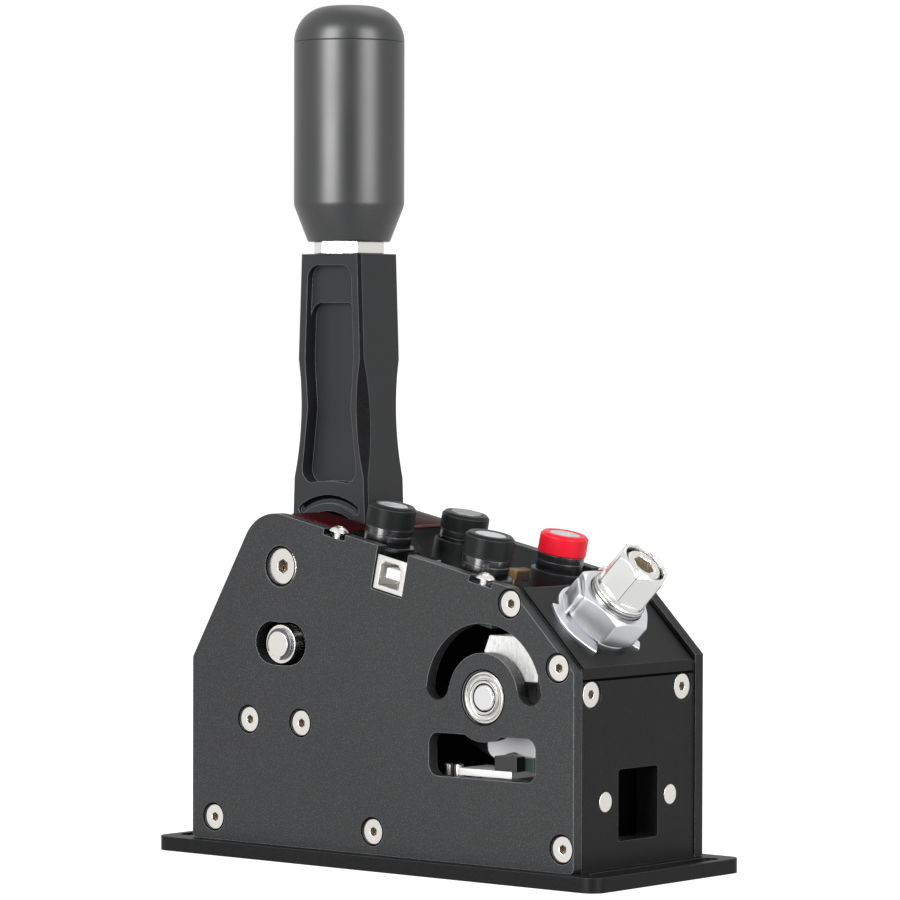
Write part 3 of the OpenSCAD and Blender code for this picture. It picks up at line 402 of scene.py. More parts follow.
@dataclass(frozen=True)
class Finish:
    """A procedural surface: base colour, edge colour as a painted highlight, grain, and machining marks."""

    name: str
    base: Colour
    # The edge colour, with its width and share below, is a painted highlight along the edges.
    edge: Colour
    metallic: float = 0.0
    roughness: float = 0.5
    grain_mm: float = 0.35
    grain_bump: float = 0.06
    sparkle: float = 0.0
    cloud: float = 0.12
    edge_mm: float = 0.35
    edge_highlight_share: float = 0.6
    coat: float = 0.0
    transmission: float = 0.0
    ior: float = 1.5
    marks: Marks = Marks.PLAIN
    turning: Turning | None = None

    def build(self) -> bpy.types.Material:
        """Make the material of this finish.

        Returns:
            The material, with every variation driven by the shared groups.
        """
        made = bpy.data.materials.new(self.name)
        made.use_nodes = True
        tree = made.node_tree
        shader = tree.nodes["Principled BSDF"]
        shader.inputs["Metallic"].default_value = self.metallic
        shader.inputs["IOR"].default_value = self.ior
        shader.inputs["Transmission Weight"].default_value = self.transmission
        shader.inputs["Coat Weight"].default_value = self.coat
        shader.inputs["Coat Roughness"].default_value = RELIEF.coat_roughness
        where = add_node(tree, "ShaderNodeTexCoord").outputs["Object"]
        grain = self._group(tree, GROUPS.grain, where)
        grain.inputs["Scale"].default_value = 1 / (self.grain_mm * MM)
        grain.inputs["Spread"].default_value = RELIEF.grain_spread
        edge = self._group(tree, GROUPS.edge, None)
        edge.inputs["Radius"].default_value = self.edge_mm * MM
        colour = self._mix(tree, grain.outputs["Cloud"], self._shade(1 - self.cloud),
                           self._shade(1 + self.cloud))
        bright = tuple(min(1.0, c + self.sparkle) for c in self.base)
        colour = self._mix(tree, grain.outputs["Sparkle"], colour, bright)
        height = add_math(tree, "MULTIPLY", grain.outputs["Height"], self.grain_bump * self.grain_mm * MM)
        rough = add_math(tree, "MULTIPLY_ADD", grain.outputs["Cloud"], RELIEF.cloud_roughness,
                         self.roughness - RELIEF.cloud_roughness / 2)
        if self.marks is Marks.SCRATCHED:
            scratches = self._group(tree, GROUPS.scratches, where)
            mask = scratches.outputs["Mask"]
            colour = self._mix(tree, mask, colour, self._shade(RELIEF.scratch_shade))
            height = add_math(tree, "MULTIPLY_ADD", scratches.outputs["Height"],
                              RELIEF.scratch_depth * MM, height)
            rough = add_math(tree, "MULTIPLY_ADD", mask, RELIEF.scratch_roughness, rough)
        if self.turning is not None:
            colour, height = self._turn(tree, where, colour, height)
        # Painted highlight: the edges take the lighter edge colour.
        painted_edge_highlight = add_math(tree, "MULTIPLY", edge.outputs["Mask"], self.edge_highlight_share)
        colour = self._mix(tree, painted_edge_highlight, colour, self.edge)
        bump = add_node(tree, "ShaderNodeBump")
        bump.inputs["Distance"].default_value = 1.0
        tree.links.new(height, bump.inputs["Height"])
        tree.links.new(edge.outputs["Normal"], bump.inputs["Normal"])
        tree.links.new(bump.outputs["Normal"], shader.inputs["Normal"])
        tree.links.new(colour, shader.inputs["Base Color"])
        tree.links.new(rough, shader.inputs["Roughness"])
        return made

    def _shade(self, share: float) -> Colour:
        """The base colour made darker or lighter by a share."""
        return tuple(min(1.0, c * share) for c in self.base)

    def _turn(self, tree: bpy.types.NodeTree, where: Socket, colour: Socket, height: Socket
              ) -> tuple[Socket, Socket]:
        """Add the rings and the thread of a turned part, with painted shade in the thread's grooves.

        Args:
            tree: the material's tree.
            where: the coordinates.
            colour: the colour so far.
            height: the height so far.

        Returns:
            The new colour and height.
        """
        turned = self._group(tree, GROUPS.turned, where)
        turned.inputs["Origin"].default_value = self.turning.origin * MM
        turned.inputs["Axis"].default_value = self.turning.axis
        turned.inputs["Ring Pitch"].default_value = RELIEF.ring_pitch * MM
        turned.inputs["Thread Pitch"].default_value = self.turning.pitch * MM
        turned.inputs["Start"].default_value = self.turning.start * MM
        turned.inputs["End"].default_value = self.turning.end * MM
        thread = turned.outputs["Thread"]
        # Painted shade in the thread's grooves.
        groove_shade_mask = add_math(tree, "MULTIPLY", thread, RELIEF.groove_shade_share)
        colour = self._mix(tree, groove_shade_mask, colour, self._shade(RELIEF.thread_painted_shade))
        height = add_math(tree, "MULTIPLY_ADD", turned.outputs["Rings"], RELIEF.ring_depth * MM, height)
        return colour, add_math(tree, "MULTIPLY_ADD", thread, -RELIEF.thread_depth * MM, height)

    @staticmethod
    def _group(tree: bpy.types.NodeTree, group: bpy.types.NodeTree, where: Socket | None) -> bpy.types.Node:
        """Place a shared group in a material.

        Args:
            tree: the material's tree.
            group: the shared group.
            where: the coordinates that the group reads, or None.

        Returns:
            The group's node.
        """
        made = add_node(tree, "ShaderNodeGroup", node_tree=group)
        if where is not None:
            tree.links.new(where, made.inputs["Vector"])
        return made

    @staticmethod
    def _mix(tree: bpy.types.NodeTree, share: Socket, first: Socket | Colour, second: Socket | Colour
             ) -> Socket:
        """Mix two colours.

        Args:
            tree: the material's tree.
            share: how much of the second colour shows.
            first: a socket or a plain colour.
            second: a socket or a plain colour.

        Returns:
            The mixed colour.
        """
        made = add_node(tree, "ShaderNodeMix", data_type="RGBA")
        tree.links.new(share, made.inputs["Factor"])
        sockets = [s for s in made.inputs if s.type == "RGBA"]
        for place, value in zip(sockets, (first, second)):
            if isinstance(value, tuple):
                place.default_value = (*value, 1.0)
            else:
                tree.links.new(value, place)
        return next(s for s in made.outputs if s.type == "RGBA")


def node_turning(node: str, axis: Vector, *thread: float) -> Turning:
    """Axis of a turned part through the middle of its node, with its thread's pitch, start and end if any."""
    return Turning(LAYOUT.middle(node), axis, *thread)


FINISHES: dict[str, Finish] = {finish.name: finish for finish in (
    Finish("plate_anodised", (0.009, 0.0095, 0.0105), (0.34, 0.35, 0.37), grain_mm=0.42, grain_bump=0.22,
           sparkle=0.03, cloud=0.1, edge_mm=0.3, edge_highlight_share=0.75, ior=1.41),
    Finish("panel_anodised", (0.004, 0.004, 0.0042), (0.16, 0.16, 0.165), roughness=0.46, grain_mm=0.3,
           grain_bump=0.1, sparkle=0.01, cloud=0.1, edge_mm=0.3, edge_highlight_share=0.5, ior=1.26),
    Finish("lever_anodised", (0.01, 0.0105, 0.0115), (0.28, 0.29, 0.31), roughness=0.44, grain_mm=0.25,
           grain_bump=0.08, sparkle=0.006, cloud=0.1, edge_mm=0.3, ior=1.37),
    Finish("knob_satin", (0.012, 0.0125, 0.0135), (0.1, 0.103, 0.108), roughness=0.36, grain_mm=0.22,
           sparkle=0.003, cloud=0.06, edge_mm=0.3, edge_highlight_share=0.4, ior=1.6),
    Finish("stainless", (0.74, 0.72, 0.69), (0.85, 0.84, 0.82), metallic=1.0, roughness=0.26, grain_mm=0.3,
           grain_bump=0.03),
    Finish("zinc_steel", (0.66, 0.67, 0.69), (0.82, 0.83, 0.84), metallic=1.0, roughness=0.34, grain_mm=0.4,
           sparkle=0.05, cloud=0.14),
    Finish("bearing_steel", (0.66, 0.65, 0.63), (0.85, 0.85, 0.84), metallic=1.0, roughness=0.3,
           grain_mm=0.3, grain_bump=0.02),
    Finish("raw_aluminium", (0.7, 0.7, 0.71), (0.85, 0.85, 0.86), metallic=0.9, roughness=0.36,
           grain_mm=0.4, grain_bump=0.05, marks=Marks.SCRATCHED),
    Finish("dark_steel", (0.1, 0.1, 0.11), (0.4, 0.4, 0.41), metallic=0.9, roughness=0.35, grain_mm=0.3,
           grain_bump=0.05),
    Finish("bronze", (0.5, 0.36, 0.17), (0.66, 0.5, 0.27), metallic=0.9, roughness=0.4, grain_mm=0.5,
           grain_bump=0.1),
    Finish("clear_cover", (0.86, 0.88, 0.89), (0.95, 0.96, 0.97), roughness=0.1, grain_mm=0.6,
           grain_bump=0.02, cloud=0.03, edge_mm=0.4, edge_highlight_share=0.5, transmission=1.0, ior=1.008),
    Finish("circuit_board", (0.012, 0.03, 0.022), (0.2, 0.19, 0.12), roughness=0.4, grain_mm=0.8,
           grain_bump=0.12),
    Finish("cap_black", (0.009, 0.01, 0.01), (0.2, 0.205, 0.21), roughness=0.38, grain_mm=0.3,
           grain_bump=0.08, edge_mm=0.4, edge_highlight_share=0.45, ior=1.2),
    Finish("cap_red", (0.62, 0.005, 0.02), (0.85, 0.12, 0.15), roughness=0.36, grain_mm=0.4,
           grain_bump=0.05, edge_mm=0.4, edge_highlight_share=0.4, ior=1.35),
    Finish("black_plastic", (0.014, 0.014, 0.015), (0.09, 0.09, 0.095), roughness=0.36, grain_bump=0.1),
    Finish("rubber", (0.012, 0.012, 0.012), (0.05, 0.05, 0.05), roughness=0.75, grain_mm=0.5,
           grain_bump=0.3),
    Finish("connector", (0.74, 0.73, 0.71), (0.9, 0.9, 0.89), metallic=1.0, roughness=0.3, grain_mm=0.4,
           grain_bump=0.04),
)}

SPECIAL: dict[str, Finish] = {
    "barrel": Finish("barrel_turned", (0.76, 0.76, 0.75), (0.9, 0.9, 0.89), metallic=1.0, roughness=0.24,
                     grain_mm=0.3, grain_bump=0.02,
                     turning=node_turning("preload_screw", OUT_OF_NOSE, 1.5, -40.0, -8.4)),
    "preload_screw": Finish("preload_turned", (0.74, 0.73, 0.7), (0.88, 0.87, 0.85), metallic=1.0,
                            roughness=0.24, grain_mm=0.3, grain_bump=0.02,
                            turning=node_turning("preload_screw", OUT_OF_NOSE, 1.0, -9.0, 2.6)),
    "cam_shaft": Finish("shaft_turned", (0.8, 0.8, 0.8), (0.92, 0.92, 0.92), metallic=1.0, roughness=0.2,
                        grain_mm=0.3, grain_bump=0.02, turning=node_turning("cam_shaft", ACROSS)),
    "locknut": Finish("nut_steel", (0.66, 0.67, 0.69), (0.88, 0.88, 0.89), metallic=1.0, roughness=0.32,
                      grain_mm=0.4, grain_bump=0.05, sparkle=0.04),
    "jam_nut": Finish("nut_turned", (0.7, 0.69, 0.67), (0.9, 0.9, 0.89), metallic=1.0, roughness=0.22,
                      grain_mm=0.3, grain_bump=0.02, turning=node_turning("jam_nut", UPRIGHT)),
    # Painted shade: the block behind the front window is near black, as the shade inside the window.
    "port_block": Finish("port_block", (0.003, 0.003, 0.003), (0.01, 0.01, 0.01), roughness=0.7, ior=1.1),
    "base_plate": Finish("base_anodised", (0.004, 0.004, 0.0045), (0.2, 0.205, 0.21), roughness=0.46,
                         grain_mm=0.3, grain_bump=0.1, sparkle=0.01, cloud=0.1, edge_mm=0.25,
                         edge_highlight_share=0.3, ior=1.22),
    "shift_cam": Finish("lobe_plate", (0.6, 0.6, 0.615), (0.8, 0.8, 0.81), metallic=0.3, roughness=0.45,
                        grain_mm=0.4, grain_bump=0.04),
    "guide_block": Finish("guide_milled", (0.72, 0.71, 0.69), (0.88, 0.87, 0.85), metallic=0.8,
                          roughness=0.34, grain_mm=0.4, grain_bump=0.05, cloud=0.5, marks=Marks.SCRATCHED),
    "sensor_bracket": Finish("shelf_milled", (0.86, 0.86, 0.85), (0.95, 0.95, 0.95), metallic=0.6,
                             roughness=0.4, grain_mm=0.4, grain_bump=0.05),
}

EXTRA: dict[str, Finish] = {finish.name: finish for finish in (
    Finish("edge_anodised", (0.006, 0.006, 0.0065), (0.3, 0.31, 0.32), roughness=0.46, grain_mm=0.4,
           grain_bump=0.15, sparkle=0.01, cloud=0.1, edge_mm=0.25, ior=1.28),
    Finish("disc_silver", (0.5, 0.51, 0.52), (0.75, 0.75, 0.76), metallic=0.7, roughness=0.38, grain_mm=0.3,
           grain_bump=0.08),
    Finish("disc_grey", (0.2, 0.205, 0.21), (0.4, 0.4, 0.41), metallic=0.3, roughness=0.42, grain_mm=0.3,
           grain_bump=0.08),
    Finish("gate_red", (0.022, 0.0004, 0.0015), (0.4, 0.015, 0.035), roughness=0.45, grain_mm=0.6,
           grain_bump=0.02, edge_highlight_share=0.5, ior=1.1),
    # Painted shade for the lever's chamfers and lenses.
    Finish("chamfer_painted_shade", (0.006, 0.006, 0.0065), (0.28, 0.29, 0.31), grain_mm=0.3, grain_bump=0.3,
           sparkle=0.012, cloud=0.1, edge_mm=0.3, ior=1.1),
    Finish("arm_filler", (0.009, 0.0095, 0.0105), (0.34, 0.35, 0.37), grain_mm=0.42, grain_bump=0.22,
           sparkle=0.03, cloud=0.1, edge_mm=0.3, edge_highlight_share=0.0, ior=1.41),
    # Painted shade for the adjuster's corner and thread lines.
    Finish("painted_shade_grey", (0.2, 0.2, 0.2), (0.2, 0.2, 0.2), metallic=0.4, roughness=0.4, edge_highlight_share=0.0),
    Finish("speckled", (0.1, 0.1, 0.1), (0.2, 0.2, 0.2), grain_mm=0.45, grain_bump=0.4, sparkle=0.22,
           cloud=0.5, edge_highlight_share=0.0, ior=1.3),
    # Painted shade for dark gaps, bands and rings, and also the black of the studio's card.
    Finish("painted_shade_and_card_black", (0.002, 0.002, 0.002), (0.004, 0.004, 0.004), roughness=0.9, ior=1.05),
    Finish("amber", (0.16, 0.075, 0.01), (0.3, 0.17, 0.05), roughness=0.35, grain_mm=0.4, grain_bump=0.05,
           coat=0.2),
    Finish("gold_pins", (0.75, 0.55, 0.22), (0.9, 0.72, 0.4), metallic=1.0, roughness=0.28, grain_mm=0.2,
           grain_bump=0.03),
    # Painted shade with a brownish painted reflection, for the floors of screw sockets.
    Finish("socket_painted_shade", (0.1, 0.065, 0.03), (0.3, 0.24, 0.15), metallic=0.5, roughness=0.4, grain_mm=0.4,
           grain_bump=0.1),
    Finish("skirt_black", (0.01, 0.01, 0.011), (0.1, 0.1, 0.105), roughness=0.22, grain_mm=0.4,
           grain_bump=0.03, coat=0.5),
    Finish("tongue_white", (0.78, 0.78, 0.77), (0.9, 0.9, 0.9), roughness=0.4, grain_mm=0.4,
           grain_bump=0.03),
)}


class Palette:
    """Makes each finish once and hands out its material."""

    def __init__(self) -> None:
        """Start with no material made."""
        self._made: dict[str, bpy.types.Material] = {}

    def get(self, finish: Finish) -> bpy.types.Material:
        """Hand out a material, made on its first use.

        Args:
            finish: the surface that is asked for.

        Returns:
            Its material.
        """
        if finish.name not in self._made:
            self._made[finish.name] = finish.build()
        return self._made[finish.name]


PALETTE = Palette()


# Mesh helpers

# Lengths in millimetres. MERGE and WELD are the gaps over which points are joined, in own pieces and in
# copies of nodes. A point counts as on the axis or on a cut within ON_AXIS or ON_PLANE. POINT is the
# radius that ends a turned body, LIFT sets a thin piece off the face that it covers, and FILM is the
# thickness of a thin piece.
MERGE = 1e-5
WELD = 1e-3
ON_AXIS = 1e-6
ON_PLANE = 1e-4
POINT = 0.01
LIFT = 0.02
FILM = 0.06

# From a section drawn in Y and Z, with its depth along Z, to the unit.
YZ_TO_UNIT = Matrix(((0, 0, 1, 0), (1, 0, 0, 0), (0, 1, 0, 0), (0, 0, 0, 1)))


@dataclass
class Piece:
    """A mesh under construction in millimetres, and what it will be in the model."""

    name: str
    body: str
    finish: Finish
    slot: str
    smooth_above: float = 32.0
    bm: bmesh.types.BMesh = field(default_factory=bmesh.new)

    def block(self, size: tuple[float, float, float], place: Matrix, bevel: float = 0.2, steps: int = 2
              ) -> None:
        """Add a box with rounded edges.

        Args:
            size: its three sides.
            place: frame of its middle.
            bevel: radius of its edges.
            steps: segments of each edge.
        """
        made = bmesh.ops.create_cube(self.bm, size=1.0, matrix=Matrix.Diagonal((*size, 1.0)))["verts"]
        edges = list({e for v in made for e in v.link_edges})
        out = bmesh.ops.bevel(self.bm, geom=edges, offset=bevel, offset_type="OFFSET", segments=steps,
                              profile=0.5, affect="EDGES", material=-1, clamp_overlap=True)
        every = {v for v in made if v.is_valid} | {v for f in out["faces"] for v in f.verts}
        bmesh.ops.transform(self.bm, matrix=place, verts=list(every))
        self._settle()

    def lathe(self, profile: list[tuple[float, float]], place: Matrix, steps: int = 64) -> None:
        """Add a turned body.

        Args:
            profile: radius and height of each corner of its section, in order.
            place: frame whose Z is the axis.
            steps: segments of the full turn.
        """
        verts = [self.bm.verts.new((r, 0.0, h)) for r, h in profile]
        closed = profile[0][0] > ON_AXIS or profile[-1][0] > ON_AXIS
        pairs = zip(verts, verts[1:] + ([verts[0]] if closed else []))
        edges = [self.bm.edges.new((a, b)) for a, b in pairs if max(a.co.x, b.co.x) > ON_AXIS]
        bmesh.ops.spin(self.bm, geom=verts + edges, cent=(0, 0, 0), axis=(0, 0, 1), dvec=(0, 0, 0),
                       angle=2 * math.pi, steps=steps, use_merge=True, use_duplicate=False)
        self._place_fresh(place)

    def rings(self, sections: list[Section], place: Matrix, steps: int = 96) -> None:
        """Add a closed body from rings whose radius and height may change round the turn.

        Args:
            sections: radius and height at an angle in degrees, for each ring in order.
            place: frame whose Z is the axis.
            steps: points of each ring.
        """
        ring = bmesh.ops.create_circle(self.bm, cap_ends=False, radius=1.0, segments=steps)["verts"]
        edges = list({e for v in ring for e in v.link_edges})
        self._shape_ring(ring, sections[0])
        for section in sections[1:] + sections[:1]:
            out = bmesh.ops.extrude_edge_only(self.bm, edges=edges)["geom"]
            ring = [g for g in out if isinstance(g, bmesh.types.BMVert)]
            fresh = set(ring)
            edges = [g for g in out if isinstance(g, bmesh.types.BMEdge) and fresh.issuperset(g.verts)]
            self._shape_ring(ring, section)
        self._place_fresh(place)

    def prism(self, outline: list[tuple[float, float]], depth: float, place: Matrix) -> None:
        """Add an outline drawn out along Z.

        Args:
            outline: corners in X and Y, in order.
            depth: how far it is drawn.
            place: frame of the outline.
        """
        foot = [self.bm.verts.new((x, y, 0.0)) for x, y in outline]
        out = bmesh.ops.extrude_face_region(self.bm, geom=[self.bm.faces.new(foot)])["geom"]
        top = [g for g in out if isinstance(g, bmesh.types.BMVert)]
        bmesh.ops.translate(self.bm, vec=(0, 0, depth), verts=top)
        bmesh.ops.transform(self.bm, matrix=place, verts=foot + top)
        self._settle()

    def copy_of(self, node: str) -> None:
        """Start from a copy of a node's solid, with its loose triangles merged.

        Args:
            node: name of the node.
        """
        source = frame["nodes"][node]
        self.bm.from_mesh(source.data)
        to_mm = Matrix.Scale(1 / MM, 4) @ source.matrix_world
        bmesh.ops.transform(self.bm, matrix=to_mm, verts=self.bm.verts[:])
        bmesh.ops.remove_doubles(self.bm, verts=self.bm.verts[:], dist=WELD)

    def cut(self, point: Vector, normal: Vector, **clear: bool) -> None:
        """Cut the whole mesh along a plane, and clear one side of it if that is asked for."""
        geom = self.bm.verts[:] + self.bm.edges[:] + self.bm.faces[:]
        bmesh.ops.bisect_plane(self.bm, geom=geom, dist=ON_PLANE, plane_co=point, plane_no=normal, **clear)

    @staticmethod
    def _shape_ring(ring: list[bmesh.types.BMVert], section: Section) -> None:
        """Set each point of a ring out to its section's radius and height, at the angle that it stands at.

        Args:
            ring: the points.
            section: radius and height at an angle in degrees.
        """
        for vert in ring:
            angle = round(math.degrees(math.atan2(vert.co.y, vert.co.x)) % 360, 2) % 360
            radius, height = section(angle)
            vert.co = (radius * math.cos(math.radians(angle)), radius * math.sin(math.radians(angle)), height)

    def _place_fresh(self, place: Matrix) -> None:
        """Merge the points that the last body added, and set them in its place.

        Args:
            place: frame of the body.
        """
        bmesh.ops.remove_doubles(self.bm, verts=[v for v in self.bm.verts if not v.tag], dist=MERGE)
        bmesh.ops.transform(self.bm, matrix=place, verts=[v for v in self.bm.verts if not v.tag])
        self._settle()

    def _settle(self) -> None:
        """Mark what is built so far, so that the next body leaves it alone."""
        for v in self.bm.verts:
            v.tag = True

    def done(self, *replaced: str, rides: bool = True) -> bpy.types.Object:
        """Turn the mesh into a finished piece of the model.

        Args:
            replaced: nodes of the solid model that the piece stands for.
            rides: whether the piece rides its body; one that doesn't stays where it is.

        Returns:
            The object, at the origin.
        """
        bmesh.ops.recalc_face_normals(self.bm, faces=self.bm.faces[:])
        bmesh.ops.transform(self.bm, matrix=Matrix.Scale(MM, 4), verts=self.bm.verts[:])
        mesh = bpy.data.meshes.new(self.name)
        self.bm.to_mesh(mesh)
        self.bm.free()
        stale = mesh.attributes.get("custom_normal")
        if stale is not None:
            mesh.attributes.remove(stale)
        mesh.shade_smooth()
        mesh.set_sharp_from_angle(angle=math.radians(self.smooth_above))
        mesh.materials.append(PALETTE.get(self.finish))
        made = bpy.data.objects.new(self.name, mesh)
        bpy.context.scene.collection.objects.link(made)
        if rides:
            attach(made, self.body)
        if replaced:
            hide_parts(*replaced)
        log.info("%s: %d faces on %s", self.name, len(mesh.polygons), self.body)
        return made


def arc_points(centre: tuple[float, float], radius: float, start: float, end: float, steps: int
               ) -> list[tuple[float, float]]:
    """Points of an arc in a turned section.

    Args:
        centre: radius and height of the arc's centre.
        radius: radius of the arc.
        start: first angle in degrees, 0 pointing outwards and 90 up.
        end: last angle in degrees.
        steps: number of segments.

    Returns:
        The points in order.
    """
    return [(centre[0] + radius * math.cos(math.radians(start + (end - start) * k / steps)),
             centre[1] + radius * math.sin(math.radians(start + (end - start) * k / steps)))
            for k in range(steps + 1)]


# Pieces


@dataclass
class Knob:
    """The satin knob: a lathe-turned grip with a chamfered foot, a rounded crown and a fine seam."""

    crown: float = 11.3
    foot_r: float = 13.2
    foot_round: float = 0.6
    taper: float = 11.6
    corner: float = 0.7
    fuller: float = 0.25
    lower: float = 0.45
    seam: float = 0.32
    seam_lip: float = 0.05
    bore: float = 6.05
    bore_depth: float = 31.0
    steps: int = 128

    def build(self) -> None:
        """Turn the knob's section round the lever's axis and replace the plain solid."""
        low, high = LAYOUT.span("knob")
        middle = (low + high) / 2
        radius = (high.x - low.x) / 2 + self.fuller
        low.z -= self.lower
        tall = high.z - low.z
        seam_z = tall - self.crown
        lip = radius - self.seam_lip
        foot = arc_points((self.foot_r - self.foot_round, self.foot_round), self.foot_round, -90, -20, 4)
        crown = arc_points((radius - self.crown, seam_z), self.crown, 3, 90, 22)
        profile = [(self.bore, 0.0), *foot, *self._corner(radius), (radius, seam_z - self.seam),
                   (lip, seam_z - self.seam), (radius - self.seam, seam_z - self.seam / 2), (lip, seam_z),
                   (radius, seam_z), *crown, (0.0, tall), (0.0, self.bore_depth),
                   (self.bore, self.bore_depth)]
        piece = Piece("knob_grip", "lever", FINISHES["knob_satin"], "knob_satin", 40.0)
        piece.lathe(profile, Matrix.Translation((middle.x, middle.y, low.z)), self.steps)
        piece.done("knob")

    def _corner(self, radius: float) -> list[tuple[float, float]]:
        """Soften the corner between the foot's taper and the grip.

        Args:
            radius: radius of the grip.

        Returns:
            The corner's points, from the taper up.
        """
        slope = Vector((radius - self.foot_r, self.taper)).normalized()
        near = Vector((radius, self.taper)) - slope * self.corner
        return [(near.x, near.y), (radius - self.corner / 10, self.taper + self.corner / 7),
                (radius, self.taper + self.corner)]


@dataclass
class Bearings:
    """The two sealed bearings: rings with chamfers, a pressed shield with its groove and small dimples."""

    outer_r: float = 8.0
    wall: float = 1.3
    chamfer: float = 0.3
    shield_in: float = 5.25
    fold: tuple[float, float] = (5.75, 5.95)
    rim: tuple[float, float, float, float] = (6.75, 6.85, 7.0, 7.05)
    step: float = 0.22
    sheet: float = 0.25
    inner_r: float = 5.2
    inner_chamfer: float = 0.2
    bore_r: float = 4.02
    width: float = 5.0
    lip: float = 0.35
    dimples: int = 8
    dimple: tuple[float, float, float] = (0.26, 0.26, 0.05)
    dimple_at: tuple[float, float, float] = (6.35, 0, -0.33)

    def build(self) -> None:
        """Turn both bearings' rings, replacing the plain ones."""
        steel = FINISHES["bearing_steel"]
        outer = Piece("bearing_rings_outer", "housing", steel, steel.name, 25.0)
        inner = Piece("bearing_rings_inner", "cam", steel, steel.name, 25.0)
        middle = LAYOUT.middle("bearing_outer_rings")
        face = LAYOUT.span("bearing_outer_rings")[1].x
        for side in Side:
            place = LAYOUT.on_side(side, middle.y, middle.z, face)
            outer.lathe(self._outer(), place, 96)
            inner.lathe(self._inner(), place, 72)
            for k in range(self.dimples):
                turn = Matrix.Rotation(2 * math.pi * (k + 0.3) / self.dimples, 4, "Z")
                outer.block(self.dimple, place @ turn @ Matrix.Translation(self.dimple_at), 0.02, 1)
        outer.done("bearing_outer_rings")
        inner.done("bearing_inner_rings")

    def _outer(self) -> list[tuple[float, float]]:
        """Draw the section of the outer ring with its pressed shield.

        Returns:
            Radius and height of each corner; the ring's face is at height 0.
        """
        r, w, lip, cut, wall = self.outer_r, self.width, self.lip, self.chamfer, self.outer_r - self.wall
        low, high, near, far = self.rim
        return [(r - cut, 0.0), (r, -cut), (r, -w + cut), (r - cut, -w), (wall, -w), (wall, -w + lip),
                (self.shield_in, -w + lip), (self.shield_in, -lip - self.sheet),
                (self.fold[0], -lip - self.sheet),
                (self.fold[1], -lip), (low, -lip), (high, -lip - self.step), (near, -lip - self.step),
                (far, 0.0)]

    def _inner(self) -> list[tuple[float, float]]:
        """Draw the section of the inner ring.

        Returns:
            Radius and height of each corner; the ring's face is at height 0.
        """
        r, b, w, cut = self.inner_r, self.bore_r, self.width, self.inner_chamfer
        return [(b + cut, 0.0), (r - cut, 0.0), (r, -cut), (r, -w + cut), (r - cut, -w), (b + cut, -w),
                (b, -w + cut), (b, -cut)]


@dataclass(frozen=True)
class CapPlace:
    """Where one button's cap sits, which disc it carries, and how high its sleeve reaches."""

    node: str
    x: float
    y: float
    top: float
    finish: str
    raised: float
    sleeve: float

    def slot(self) -> str:
        """Name of the cap's own finish."""
        return "cap_red" if self.node == "d" else "cap_black"


CAPS = (CapPlace("a", -18.3, 7.4, 10.7, "disc_silver", 0.0, 3.8),
        CapPlace("b", 18.3, 7.4, 7.0, "disc_grey", 0.55, 1.5),
        CapPlace("c", -18.3, -31.7, 11.0, "disc_silver", 0.0, 4.0),
        CapPlace("d", 18.3, -31.7, 10.1, "disc_silver", 0.0, 3.6))


@dataclass
class CapDiscs:
    """The round inlays on top of the four button caps, each with a fine ring in it."""

    radius: float = 4.85
    thick: float = 0.12
    under: float = 0.05
    chamfer: float = 0.15
    ring: tuple[float, float, float, float] = (3.3, 3.2, 2.9, 2.8)
    ring_depth: float = 0.1
    sunk: float = 0.28

    def build(self) -> None:
        """Turn each disc on its own cap."""
        for cap in CAPS:
            piece = Piece(f"cap_disc_{cap.node}", f"button_{cap.node}", EXTRA[cap.finish], cap.slot(), 30.0)
            top, r = self.thick + cap.raised, self.radius
            outer, near, far, inner = self.ring
            floor = top - self.ring_depth
            piece.lathe([(0.0, -self.under), (r, -self.under), (r, top - self.thick), (r - self.chamfer, top),
                         (outer, top), (near, floor), (far, floor), (inner, top), (0.0, top)],
                        LAYOUT.on_slope(cap.x, cap.y, cap.top - self.sunk))
            piece.done()


@dataclass
class LeverGate:
    """The deep red band of the clear cover round the lever's slot."""

    front_y: float = 16.6
    half_w: float = 27.4
    slot_half: float = 11.2
    slot_y: float = 19.6
    thick: float = 0.35
    rear_gap: float = 0.6
    rounding: float = 0.15

    def build(self) -> None:
        """Build the band as three strips on the cover and join them in one piece."""
        rear_y = LAYOUT.span("top_cover")[1].y - self.rear_gap
        cos = math.cos(LAYOUT.slope)
        piece = Piece("lever_gate", "housing", EXTRA["gate_red"], "clear_cover")
        bar = self.slot_y - self.front_y
        piece.block((2 * self.half_w, bar / cos, self.thick),
                    LAYOUT.on_slope(0, self.front_y + bar / 2, self.thick / 2 + LIFT), self.rounding)
        long = rear_y - self.front_y
        wide = self.half_w - self.slot_half
        for side in Side:
            place = LAYOUT.on_slope(side.value * (self.slot_half + wide / 2), self.front_y + long / 2,
                                    self.thick / 2 + 1.5 * LIFT)
            piece.block((wide, long / cos, self.thick), place, self.rounding)
        piece.done()


